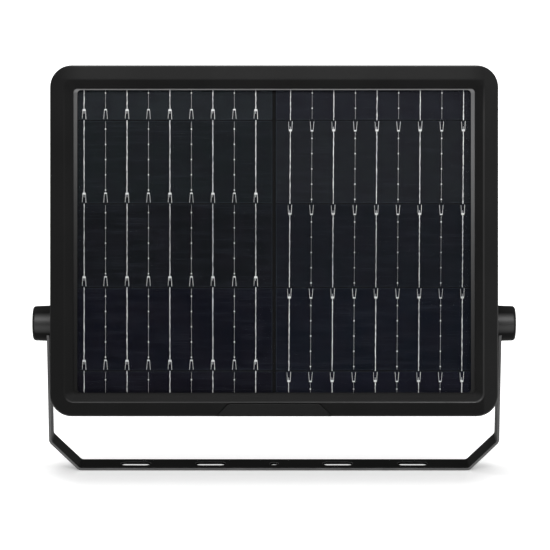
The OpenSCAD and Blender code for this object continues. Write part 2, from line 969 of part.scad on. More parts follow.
module power_button() {
  color("#b02a24")
    at_head() {
      rod_y(button_x, sensor_z, button_r, inner_y - button_gap - skin, back_y + button_out);
      rod_y(button_x, sensor_z, button_r + button_flange_out,
        inner_y - button_gap - button_flange_t, inner_y - button_gap);
    }
}

module switch_plunger() {
  color("#e4e4e0")
    at_head()
      rod_y(button_x, sensor_z, plunger_r, inner_y - switch_top - plunger_in,
        inner_y - button_gap - button_flange_t);
}

module push_switch() {
  color("#202224")
    at_head()
      difference() {
        box_at(button_x - switch_w / 2, button_x + switch_w / 2, sensor_face_y, inner_y - switch_top,
          sensor_z - switch_w / 2, sensor_z + switch_w / 2);
        rod_y(button_x, sensor_z, plunger_r + plunger_gap,
          inner_y - switch_top - plunger_in - button_travel - switch_spare, inner_y - switch_top + cut);
      }
}

module level_lights() {
  color("#7fd08a")
    at_head()
      for (i = [0:light_count - 1])
        rod_y(light_x + (i - (light_count - 1) / 2) * light_pitch, sensor_z, light_r, sensor_face_y, back_y);
}

module pivot_insert(side) {
  color("#c0a050")
    at_head()
      mirrored(side)
        difference() {
          rod_x(insert_r, side_x - insert_sink - insert_l, side_x - insert_sink);
          rod_x(bolt_r + bolt_clearance, side_x - insert_sink - insert_l - cut, side_x);
        }
}

module pivot_bolt(side) {
  color("#b9bcc0")
    at_head()
      mirrored(side)
        difference() {
          union() {
            rod_x(bolt_r, bolt_seat_x - bolt_length, bolt_seat_x + skin);
            rod_x(bolt_head_r, bolt_seat_x, bolt_seat_x + bolt_head_h);
          }
          translate([bolt_seat_x + bolt_head_h - hex_socket_d, 0, 0])
            rotate([0, 90, 0])
              cylinder(h = hex_socket_d + cut, r = hex_socket_r, $fn = 6);
        }
}

module on_pivot(side) {
  translate([0, 0, pivot_h])
    mirrored(side)
      children();
}

module friction_washer(side) {
  color("#1a1a1a")
    on_pivot(side)
      difference() {
        rod_x(washer_r, side_x + washer_gap, arm_in_x);
        rod_x(bolt_r + screw_clearance, side_x, arm_in_x + cut);
      }
}

module flat_washer(side) {
  color("#b9bcc0")
    on_pivot(side)
      difference() {
        rod_x(flat_washer_r, arm_out_x, arm_out_x + flat_washer_t);
        rod_x(bolt_r + screw_clearance, arm_out_x - cut, arm_out_x + flat_washer_t + cut);
      }
}

module spring_washer(side) {
  color("#9a9da1")
    on_pivot(side)
      difference() {
        rod_x(spring_washer_r, arm_out_x + flat_washer_t, bolt_seat_x - washer_gap);
        rod_x(bolt_r + screw_clearance, arm_out_x, bolt_seat_x + cut);
        box_at(arm_out_x, bolt_seat_x + cut, -spring_cut / 2, spring_cut / 2, 0, spring_washer_r + cut);
      }
}

module pivot_cap(side) {
  inner_x = side_x + cap_gap;
  outer_x = side_x + cap_reach;
  hollow_x = outer_x - cap_wall_end;
  color("#2b2d30")
    on_pivot(side)
      difference() {
        rotate([0, 90, 0])
          rotate_extrude()
            difference() {
              polygon(concat(
                [[0, inner_x], [cap_r, inner_x]],
                arc(cap_end_r - cap_round, outer_x - cap_round, cap_round, 0, 90, arc_steps),
                [[0, outer_x]]
              ));
              translate([0, inner_x - cut])
                square([cap_inner_r, arm_out_x - inner_x + cut]);
              translate([0, inner_x])
                square([cap_end_r - cap_round, hollow_x - inner_x]);
            }
        box_at(inner_x - cut, arm_out_x + cap_notch_gap, -strip_w / 2 - cap_clearance,
          strip_w / 2 + cap_clearance, -cap_r - cut, 0);
      }
}

module bracket_profile() {
  w = arm_out_x;
  inset = strip_t * (sqrt(2) - 1);
  polygon([
    [-w, pivot_h], [-w, bend], [-w + bend, 0], [w - bend, 0], [w, bend], [w, pivot_h],
    [w - strip_t, pivot_h], [w - strip_t, bend + inset], [w - bend - inset, strip_t],
    [-w + bend + inset, strip_t], [-w + strip_t, bend + inset], [-w + strip_t, pivot_h]
  ]);
}

module slot(x) {
  translate([x, 0, -cut])
    linear_extrude(strip_t + 2 * cut) {
      square([slot_l - slot_w, slot_w], center = true);
      for (end = [-1, 1])
        translate([end * (slot_l - slot_w) / 2, 0])
          circle(slot_w / 2);
    }
}

module mounting_bracket() {
  color("#1c1d1f")
    difference() {
      union() {
        translate([0, strip_w / 2, 0])
          rotate([90, 0, 0])
            linear_extrude(strip_w)
              bracket_profile();
        for (side = [-1, 1])
          on_pivot(side)
            rod_x(strip_w / 2, arm_in_x, arm_out_x);
      }
      for (side = [-1, 1])
        on_pivot(side)
          rod_x(bolt_r + bolt_clearance, arm_in_x - cut, arm_out_x + cut);
      for (x = [-outer_slot_x, -inner_slot_x, inner_slot_x, outer_slot_x])
        slot(x);
      translate([0, 0, -cut])
        cylinder(h = strip_t + 2 * cut, d = centre_hole);
    }
}

solar_frame();
chin_cover();
panel_gasket();
panel_glass();
ribbons(-1);  // left_ribbons
ribbons(1);  // right_ribbons
cell_string(-1);  // left_cell_string
cell_string(1);  // right_cell_string
panel_backsheet();
panel_junction_box();
lamp_housing();
housing_seal();
housing_screws();
light_cover();
light_cover_seal();
reflector_tray();
tray_screws();
led_board();
led_chips();
battery_cell(1);  // battery_cell_1
battery_cell(2);  // battery_cell_2
battery_cell(3);  // battery_cell_3
battery_cell(4);  // battery_cell_4
battery_cradle();
battery_tabs();
controller_board();
controller_parts();
board_screws();
panel_leads();
battery_leads();
led_leads();
sensor_leads();
sensor_board();
pir_element();
pir_lens();
power_button();
switch_plunger();
push_switch();
level_lights();
pivot_insert(-1);  // left_pivot_insert
friction_washer(-1);  // left_friction_washer
flat_washer(-1);  // left_flat_washer
spring_washer(-1);  // left_spring_washer
pivot_bolt(-1);  // left_pivot_bolt
pivot_cap(-1);  // left_pivot_cap
pivot_insert(1);  // right_pivot_insert
friction_washer(1);  // right_friction_washer
flat_washer(1);  // right_flat_washer
spring_washer(1);  // right_spring_washer
pivot_bolt(1);  // right_pivot_bolt
pivot_cap(1);  // right_pivot_cap
mounting_bracket();
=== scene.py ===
import math
import random

import bmesh
import bpy
from mathutils import Matrix, Vector


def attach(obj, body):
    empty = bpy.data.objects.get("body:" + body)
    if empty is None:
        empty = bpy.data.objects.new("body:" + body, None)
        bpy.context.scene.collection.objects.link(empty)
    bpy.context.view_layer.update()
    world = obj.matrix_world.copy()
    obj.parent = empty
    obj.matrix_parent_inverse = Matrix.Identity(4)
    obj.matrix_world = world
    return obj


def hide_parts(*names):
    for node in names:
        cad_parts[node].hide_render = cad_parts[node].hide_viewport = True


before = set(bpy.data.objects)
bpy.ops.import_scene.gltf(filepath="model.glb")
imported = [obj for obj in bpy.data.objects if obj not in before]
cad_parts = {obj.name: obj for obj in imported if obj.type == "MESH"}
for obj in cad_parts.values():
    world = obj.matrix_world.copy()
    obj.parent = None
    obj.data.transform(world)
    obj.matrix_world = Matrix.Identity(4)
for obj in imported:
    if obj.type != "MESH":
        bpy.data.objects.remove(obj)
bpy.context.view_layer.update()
print("frame loaded:", len(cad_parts), "nodes")

# The head leans back on its pivot. Head pieces are drawn in millimetres with
# their origin on the tilt axis, and the stand with its origin under its base.
headLean = math.radians(13)
pivotHeight = 121.5
millimetre = 0.001
standPlace = Matrix.Scale(millimetre, 4)
headPlace = (standPlace @ Matrix.Translation((0, 0, pivotHeight))
             @ Matrix.Rotation(-headLean, 4, "X"))
bodySize = {"width": 360, "height": 282, "cornerRadius": 17.5, "centreZ": 66.8,
            "front": -32, "back": 14}
headBottom = bodySize["centreZ"] - bodySize["height"] / 2


def addObject(name, data):
    thing = bpy.data.objects.new(name, data)
    bpy.context.scene.collection.objects.link(thing)
    return thing


# Camera
cameraSettings = {"lens": 163.1, "sensor": 36, "across": 0.70, "distance": 2032, "up": 39.35}


def addCamera(s):
    data = bpy.data.cameras.new("camera")
    data.lens = s["lens"]
    data.sensor_width = s["sensor"]
    data.clip_end = 60
    camera = addObject("camera", data)
    camera.location = headPlace @ Vector((s["across"], -s["distance"], s["up"]))
    camera.rotation_euler = (math.pi / 2 - headLean, 0, 0)
    bpy.context.scene.camera = camera


addCamera(cameraSettings)
bpy.context.scene.view_settings.view_transform = "Standard"


# Shader helpers
class Wire:
    # A node's output, so that sums of outputs and numbers can be written plainly
    def __init__(self, tree, socket):
        self.tree = tree
        self.socket = socket

    def calc(self, operation, *others, clamp=False):
        return mathNode(self.tree, operation, self, *others, clamp=clamp)

    def __add__(self, other):
        return self.calc("ADD", other)

    def __sub__(self, other):
        return self.calc("SUBTRACT", other)

    def __rsub__(self, other):
        return mathNode(self.tree, "SUBTRACT", other, self)

    def __mul__(self, other):
        return self.calc("MULTIPLY", other)

    def __truediv__(self, other):
        return self.calc("DIVIDE", other)

    def __gt__(self, other):
        return self.calc("GREATER_THAN", other)

    def __lt__(self, other):
        return self.calc("LESS_THAN", other)

    def larger(self, other):
        return self.calc("MAXIMUM", other)

    def span(self, low, high, toLow=0.0, toHigh=1.0, smooth=False):
        node = self.tree.nodes.new("ShaderNodeMapRange")
        if smooth:
            node.interpolation_type = "SMOOTHSTEP"
        setInputs(self.tree, node, {"Value": self, "From Min": low, "From Max": high, "To Min": toLow,
                                    "To Max": toHigh})
        return Wire(self.tree, node.outputs["Result"])

    def mix(self, first, second):
        # The wire is the factor between two colours
        node = self.tree.nodes.new("ShaderNodeMix")
        node.data_type = "RGBA"
        for value, slot in ((self, 0), (first, 6), (second, 7)):
            feed(self.tree, value, node.inputs[slot])
        return Wire(self.tree, node.outputs[2])


def feed(tree, value, socket):
    # A wire is linked, and anything else is set as a plain value
    if isinstance(value, Wire):
        tree.links.new(value.socket, socket)
    else:
        socket.default_value = value


def setInputs(tree, node, values):
    for label, value in values.items():
        feed(tree, value, node.inputs[label])


def wiresOf(tree, node):
    return {output.name: Wire(tree, output) for output in node.outputs}


def newWires(tree, kind):
    return wiresOf(tree, tree.nodes.new("ShaderNode" + kind))


def mathNode(tree, operation, *values, clamp=False):
    node = tree.nodes.new("ShaderNodeMath")
    node.operation = operation
    node.use_clamp = clamp
    for value, socket in zip(values, node.inputs):
        feed(tree, value, socket)
    return Wire(tree, node.outputs[0])


def vectorNode(vector, operation, *values):
    node = vector.tree.nodes.new("ShaderNodeVectorMath")
    node.operation = operation
    for value, socket in zip((vector, *values), node.inputs):
        feed(vector.tree, value, socket)
    return wiresOf(vector.tree, node)


def splitVector(vector):
    node = vector.tree.nodes.new("ShaderNodeSeparateXYZ")
    feed(vector.tree, vector, node.inputs[0])
    return [Wire(vector.tree, node.outputs[axis]) for axis in "XYZ"]


def noise(vector, scale, detail=2.0, roughness=0.5):
    node = vector.tree.nodes.new("ShaderNodeTexNoise")
    setInputs(vector.tree, node, {"Vector": vector, "Scale": scale, "Detail": detail, "Roughness": roughness})
    return Wire(vector.tree, node.outputs["Fac"])


def colourSteps(factor, colours, flat=False):
    # Evenly spaced colours, blended into each other or in flat bands
    node = factor.tree.nodes.new("ShaderNodeValToRGB")
    feed(factor.tree, factor, node.inputs["Fac"])
    stops = node.color_ramp.elements
    stops.remove(stops[1])
    stops[0].color = colour4(colours[0])
    if flat:
        node.color_ramp.interpolation = "CONSTANT"
    for i, colour in enumerate(colours[1:], 1):
        stops.new(i / (len(colours) if flat else len(colours) - 1)).color = colour4(colour)
    return Wire(factor.tree, node.outputs["Color"])


def bumpNormal(height, strength, distance):
    node = height.tree.nodes.new("ShaderNodeBump")
    setInputs(height.tree, node, {"Height": height, "Strength": strength, "Distance": distance})
    return Wire(height.tree, node.outputs["Normal"])


def colour4(value):
    return (value, value, value, 1) if isinstance(value, (int, float)) else (*value, 1)


def newGroup(name, inputs, outputs):
    # Both sides give the kind of socket that each label has
    group = bpy.data.node_groups.new(name, "ShaderNodeTree")
    for side, sockets in (("INPUT", inputs), ("OUTPUT", outputs)):
        for label, kind in sockets.items():
            group.interface.new_socket(label, in_out=side, socket_type="NodeSocket" + kind)
    return group, wiresOf(group, group.nodes.new("NodeGroupInput")), group.nodes.new("NodeGroupOutput")


surfaceOutputs = {"Colour": "Color", "Roughness": "Float", "Height": "Float"}


def buildGrainGroup():
    # Moulded or painted skin: a broad cloud of colour, fine grain in height and gloss
    group, given, out = newGroup("surfaceGrain", {
        "Vector": "Vector", "Colour": "Color", "Second Colour": "Color", "Cloud Scale": "Float",
        "Grain Scale": "Float", "Roughness Low": "Float", "Roughness High": "Float"}, surfaceOutputs)
    cloud = noise(given["Vector"], given["Cloud Scale"], 3.0)
    grain = noise(given["Vector"], given["Grain Scale"], 2.0, 0.6)
    both = cloud * 0.5 + grain * 0.5
    setInputs(group, out, {
        "Colour": cloud.span(0.3, 0.7, smooth=True).mix(given["Colour"], given["Second Colour"]),
        "Roughness": both.span(0.3, 0.7, given["Roughness Low"], given["Roughness High"]),
        "Height": grain})
    return group


def buildDustGroup():
    # A trace of dust where a surface faces up
    group, given, out = newGroup("settledDust", {
        "Vector": "Vector", "Colour": "Color", "Dust Colour": "Color", "Amount": "Float",
    }, {"Colour": "Color"})
    upward = splitVector(newWires(group, "NewGeometry")["Normal"])[2].span(0.3, 1.0, smooth=True)
    patches = noise(given["Vector"], 60.0, 4.0, 0.7).span(0.4, 0.75, 0.15, 1.0)
    share = (upward * patches).calc("MULTIPLY", given["Amount"], clamp=True)
    setInputs(group, out, {"Colour": share.mix(given["Colour"], given["Dust Colour"])})
    return group


def buildBrushGroup():
    # Fine parallel marks along one axis of turned, rolled or plated metal
    group, given, out = newGroup("metalMarks", {
        "Vector": "Vector", "Stretch": "Vector", "Colour": "Color", "Mark Colour": "Color", "Scale": "Float",
        "Roughness Low": "Float", "Roughness High": "Float"}, surfaceOutputs)
    stretched = vectorNode(given["Vector"], "MULTIPLY", given["Stretch"])["Vector"]
    marks = noise(stretched, given["Scale"], 5.0, 0.65)
    both = marks * 0.7 + noise(given["Vector"], 25.0, 2.0) * 0.3
    setInputs(group, out, {
        "Colour": both.span(0.3, 0.7).mix(given["Colour"], given["Mark Colour"]),
        "Roughness": both.span(0.3, 0.7, given["Roughness Low"], given["Roughness High"]),
        "Height": marks})
    return group


grainGroup = buildGrainGroup()
dustGroup = buildDustGroup()
brushGroup = buildBrushGroup()
print("shader groups built")


# Materials
def newMaterial(name):
    material = bpy.data.materials.new(name)
    material.use_nodes = True
    tree = material.node_tree
    return material, tree, tree.nodes["Principled BSDF"]


def objectCoords(tree, onHead=False):
    # Head materials read millimetres in the head's own frame, the others metres
    coords = newWires(tree, "TexCoord")["Object"]
    if not onHead:
        return coords
    mapping = tree.nodes.new("ShaderNodeMapping")
    place = (0, pivotHeight * math.sin(headLean), -pivotHeight * math.cos(headLean))
    setInputs(tree, mapping, {"Vector": coords, "Location": place, "Rotation": (headLean, 0, 0),
                              "Scale": (1000, 1000, 1000)})
    return Wire(tree, mapping.outputs["Vector"])


def addGroup(group, vector, values):
    node = vector.tree.nodes.new("ShaderNodeGroup")
    node.node_tree = group
    setInputs(vector.tree, node, {"Vector": vector, **values})
    return wiresOf(vector.tree, node)


dustColour = (0.3, 0.29, 0.27, 1)


def addSkin(tree, shader, shades, rough, grain, bump, cloud, specular, dust=0.0):
    coords = objectCoords(tree)
    skin = addGroup(grainGroup, coords, {
        "Colour": shades[0], "Second Colour": shades[1], "Cloud Scale": cloud, "Grain Scale": grain,
        "Roughness Low": rough[0], "Roughness High": rough[1]})
    shown = skin["Colour"]
    if dust:
        shown = addGroup(dustGroup, coords, {
            "Colour": shown, "Dust Colour": dustColour, "Amount": dust})["Colour"]
    setInputs(tree, shader, {
        "Base Color": shown, "Roughness": skin["Roughness"], "Specular IOR Level": specular,
        "Normal": bumpNormal(skin["Height"], bump, 0.0002)})


def skinMaterial(name, colour, second, rough=(0.4, 0.5), grain=2500.0, bump=0.1, cloud=12.0,
                 specular=0.5, dust=0.0):
    material, tree, shader = newMaterial(name)
    addSkin(tree, shader, (colour4(colour), colour4(second)), rough, grain, bump, cloud, specular, dust)
    return material


def metalMaterial(name, colour, mark, stretch=(1.0, 1.0, 40.0), rough=(0.25, 0.4), scale=60.0, bump=0.05):
    material, tree, shader = newMaterial(name)
    metal = addGroup(brushGroup, objectCoords(tree), {
        "Stretch": stretch, "Colour": colour4(colour), "Mark Colour": colour4(mark), "Scale": scale,
        "Roughness Low": rough[0], "Roughness High": rough[1]})
    setInputs(tree, shader, {"Base Color": metal["Colour"], "Roughness": metal["Roughness"], "Metallic": 1,
                             "Normal": bumpNormal(metal["Height"], bump, 0.0001)})
    return material


def clearMaterial(name, colour, roughness, specular, smudge, refraction):
    # Clear sheet that lets lamps through, with faint smears in its gloss
    material, tree, shader = newMaterial(name)
    smears = noise(objectCoords(tree), 18.0, 4.0, 0.6)
    setInputs(tree, shader, {
        "Base Color": smears.mix(colour4(colour), colour4([c * 0.97 for c in colour])),
        "Roughness": smears.span(0.35, 0.7, roughness, roughness + smudge),
        "Transmission Weight": 1, "IOR": refraction, "Specular IOR Level": specular})
    # Light bounced off what lies behind passes straight through
    lightPath = newWires(tree, "LightPath")
    choose = tree.nodes.new("ShaderNodeMixShader")
    feed(tree, lightPath["Is Camera Ray"].larger(lightPath["Is Transmission Ray"]), choose.inputs[0])
    feed(tree, newWires(tree, "BsdfTransparent")["BSDF"], choose.inputs[1])
    tree.links.new(shader.outputs[0], choose.inputs[2])
    tree.links.new(choose.outputs[0], tree.nodes["Material Output"].inputs["Surface"])
    return material


# Each shade is a pair, because the moulded skin clouds from one to the other
# The paler rims and bevel and the top edge's shade are painted light, not the plastic's own colour
frameFinish = {"black": (0.0112, 0.0092), "paintedLit": (0.0245, 0.0215), "paintedTopHighlight": (0.07, 0.06),
               "rightLitShare": 0.42, "sillLitShare": 0.45, "polish": 0.75}


def frameMaterial(s):
    # Moulded black, with painted light: paler along the upper rim, the right rim and the
    # lower bevel, a painted highlight on its top edge, and polished where it is rounded
    material, tree, shader = newMaterial("frameBlack")
    x, y, z = splitVector(objectCoords(tree, onHead=True))
    front = bodySize["front"]
    top = bodySize["centreZ"] + bodySize["height"] / 2
    face = y.span(front + 1.2, front + 0.4, smooth=True)
    ends = x.calc("ABSOLUTE").span(152, 178, 1.0, 0.0, smooth=True)
    upperRim = z.span(top - 12.4, top - 10.6, smooth=True) * ends
    rightRim = x.span(167.6, 169.4, 0.0, s["rightLitShare"], smooth=True)
    sill = z.span(headBottom + 20, headBottom + 16, 0.0, s["sillLitShare"], smooth=True)
    # Painted light: paler upper rim, right rim and lower bevel
    paintedLit = (upperRim.larger(rightRim) * face).larger(sill * (1.0 - face))
    # Painted highlight along the top outer edge
    paintedTopHighlight = z.span(top - 1.5, top - 0.8) * y.span(front + 1.3, front + 0.9) * ends
    shades = []
    for black, litTint, highlightTint in zip(s["black"], s["paintedLit"], s["paintedTopHighlight"]):
        shades.append(paintedTopHighlight.mix(paintedLit.mix(colour4(black), colour4(litTint)), colour4(highlightTint)))
    # The rounded edges lie just behind the face
    rounded = y.span(front + 0.01, front + 0.05) * y.span(front + 0.5, front + 0.9, 1.0, 0.0)
    upper = x.span(-165, 165, 0.1, 1.0) * z.span(top - 40, top - 14, 1.0, 0.05)
    lower = z.span(headBottom + 8, headBottom + 16, 0.9, 0.0)
    addSkin(tree, shader, shades, (0.38, 0.45), 2200, 0.12, 14, 0.05)
    polish = rounded * upper.larger(lower) * s["polish"]
    setInputs(tree, shader, {"Coat Weight": polish, "Coat Roughness": 0.28})
    return material


def capMaterial():
    # Soft matt plastic: a broad dull highlight, with little gloss at low angles
    material = skinMaterial("capBlack", 0.0108, 0.009, (0.44, 0.5), 2400, 0.08, 20, 0.04)
    tree = material.node_tree
    gloss = newWires(tree, "LayerWeight")["Facing"].span(0.02, 0.2, 1.0, 0.0)
    setInputs(tree, tree.nodes["Principled BSDF"],
              {"Coat Weight": gloss, "Coat Roughness": 0.43, "Coat IOR": 1.65})
    return material


gasketFinish = {"low": -61, "high": 180, "topStrip": (185.5, 187.5), "topHighlight": 0.24,
                "left": (0.004, 0.006, 0.0116, 0.024, 0.048, 0.093, 0.133),
                "right": (0.012, 0.023, 0.044, 0.08, 0.127, 0.168, 0.184)}


def gasketMaterial(s):
    # Grey foam gasket with painted light: paler towards the top, paler on the right, and a painted highlight
    # along the top strip
    material, tree, shader = newMaterial("gasketFoam")
    coords = objectCoords(tree, onHead=True)
    across, depth, up = splitVector(coords)
    cells = noise(coords, 1.2, 3.0, 0.6)
    sides = [colourSteps(up.span(s["low"], s["high"]), s[side]) for side in ("left", "right")]
    # Painted light: the shade rises with height and is paler on the right, and the top strip takes a painted
    # highlight
    shade = up.span(*s["topStrip"]).mix((across > 0.0).mix(*sides), colour4(s["topHighlight"]))
    setInputs(tree, shader, {
        "Base Color": (cells * 0.2).mix(shade, colour4(0.01)), "Roughness": cells.span(0.3, 0.7, 0.7, 0.85),
        "Specular IOR Level": 0.2, "Normal": bumpNormal(cells, 0.2, 0.0002)})
    return material


cellSettings = {"pitch": 67.4, "gap": 1.4, "firstBoundary": 97.4, "stringCentre": 83.0, "width": 162.8,
                "fingerPitch": 1.3, "fingerShare": 0.5, "fingerTint": (0.026, 0.0286, 0.039),
                "streakStretch": (0.02, 1.0, 0.3), "cloudShare": 0.35, "cloudTint": (0.0052, 0.0034, 0.0085),
                "edgeWidth": 0.28, "sideWidth": 0.3, "edgeShare": 0.45, "edgeTint": (0.05, 0.062, 0.085),
                # rowShades, from the top row down: the cells' own blue-black with painted light, darker
                # towards the bottom
                "rowShades": [[(0.0155, 0.0189, 0.0222), (0.0073, 0.0101, 0.0116), (0.0047, 0.0059, 0.0076),
                           (0.0032, 0.0038, 0.0080), (0.0042, 0.0040, 0.0081)],
                          [(0.0132, 0.0142, 0.0202), (0.0129, 0.0147, 0.0176), (0.0064, 0.0080, 0.0114),
                           (0.0044, 0.0061, 0.0109), (0.0060, 0.0068, 0.0133)]]}


def cellMaterial(s):
    # Blue-black silicon with printed fingers, pale cell edges, slow changes of tint and painted light from
    # row to row
    material, tree, shader = newMaterial("cellSilicon")
    coords = objectCoords(tree, onHead=True)
    across, depth, up = splitVector(coords)
    cellRow = (up - (bodySize["centreZ"] + s["firstBoundary"])) / s["pitch"]
    cloud = noise(coords, 0.05, 3.0).span(0.35, 0.7, smooth=True)
    # Each row of cells has its own shade, paler at the top and darker towards the bottom as painted light,
    # and a little different in the right string
    sides = [colourSteps((1.0 - cellRow) / len(rowShades), rowShades, flat=True) for rowShades in s["rowShades"]]
    base = (across > 0.0).mix(*sides)
    base = (cloud * s["cloudShare"]).mix(base, colour4(s["cloudTint"]))
    # Printed fingers, which show as streaks
    finger = (up / s["fingerPitch"]).calc("FRACT") < s["fingerShare"]
    stretched = vectorNode(coords, "MULTIPLY", s["streakStretch"])["Vector"]
    streak = noise(stretched, 1.0, 3.0, 0.7).span(0.46, 0.68, 0.0, 0.5)
    base = (finger * streak).mix(base, colour4(s["fingerTint"]))
    # Pale lines along each cell's upper, lower and side edges
    rows = cellRow.calc("FRACT")
    rowEdge = rows.calc("MINIMUM", 1.0 - rows) * s["pitch"] < s["gap"] / 2 + s["edgeWidth"]
    fromCentre = (across.calc("ABSOLUTE") - s["stringCentre"]).calc("ABSOLUTE")
    sideEdge = fromCentre > s["width"] / 2 - s["sideWidth"]
    base = (rowEdge.larger(sideEdge) * s["edgeShare"]).mix(base, colour4(s["edgeTint"]))
    setInputs(tree, shader, {"Base Color": base, "Roughness": cloud.span(0.0, 1.0, 0.3, 0.42),
                             "Specular IOR Level": 0.08})
    return material


def boardMaterial(name, mask, track):
    # Solder mask with a faint maze of tracks under it
    material, tree, shader = newMaterial(name)
    coords = objectCoords(tree, onHead=True)
    maze = tree.nodes.new("ShaderNodeTexVoronoi")
    maze.distance = "MANHATTAN"
    setInputs(tree, maze, {"Vector": coords, "Scale": 0.18})
    lines = (wiresOf(tree, maze)["Distance"] * 3.0).calc("FRACT") < 0.3
    setInputs(tree, shader, {
        "Base Color": (lines * 0.6).mix(colour4(mask), colour4(track)),
        "Roughness": noise(coords, 0.4).span(0.3, 0.7, 0.3, 0.42), "Normal": bumpNormal(lines, 0.15, 0.0001)})
    return material


def glowMaterial(name, colour, second, glow):
    # Phosphor or a light pipe: a saturated resin with a cloudy core
    material, tree, shader = newMaterial(name)
    core = noise(objectCoords(tree, onHead=True), 0.9, 2.0).span(0.35, 0.65, smooth=True)
    setInputs(tree, shader, {
        "Base Color": core.mix(colour4(colour), colour4(second)), "Roughness": core.span(0.0, 1.0, 0.25, 0.4),
        "Subsurface Weight": glow, "Subsurface Radius": (0.002, 0.002, 0.002), "Subsurface Scale": 0.4})
    return material


ledBoardFinish = {"pitchX": 260 / 17, "pitchZ": 106 / 7, "centreZ": 112.8, "gap": 0.45, "padHalf": 0.2,
                  "mask": 0.66, "pad": 0.78, "line": 0.36}


def ledBoardMaterial(s):
    # White mask over copper areas, parted by thin gaps halfway between the chips
    material, tree, shader = newMaterial("ledBoardWhite")
    coords = objectCoords(tree, onHead=True)
    across, depth, up = splitVector(coords)
    # Chips sit at half pitches, as there is an even number each way
    fromColumn = ((across / s["pitchX"]).calc("FRACT") - 0.5).calc("ABSOLUTE")
    fromRow = (((up - s["centreZ"]) / s["pitchZ"]).calc("FRACT") - 0.5).calc("ABSOLUTE")
    gaps = (fromColumn > 0.5 - s["gap"] / s["pitchX"]).larger(fromRow > 0.5 - s["gap"] / s["pitchZ"])
    pad = fromColumn.larger(fromRow * 0.8) < s["padHalf"]
    base = (pad * 0.5).mix(colour4(s["mask"]), colour4(s["pad"]))
    setInputs(tree, shader, {
        "Base Color": gaps.mix(base, colour4(s["line"])),
        "Roughness": noise(coords, 0.4).span(0.3, 0.7, 0.3, 0.42), "Normal": bumpNormal(gaps, 0.15, 0.0001)})
    return material


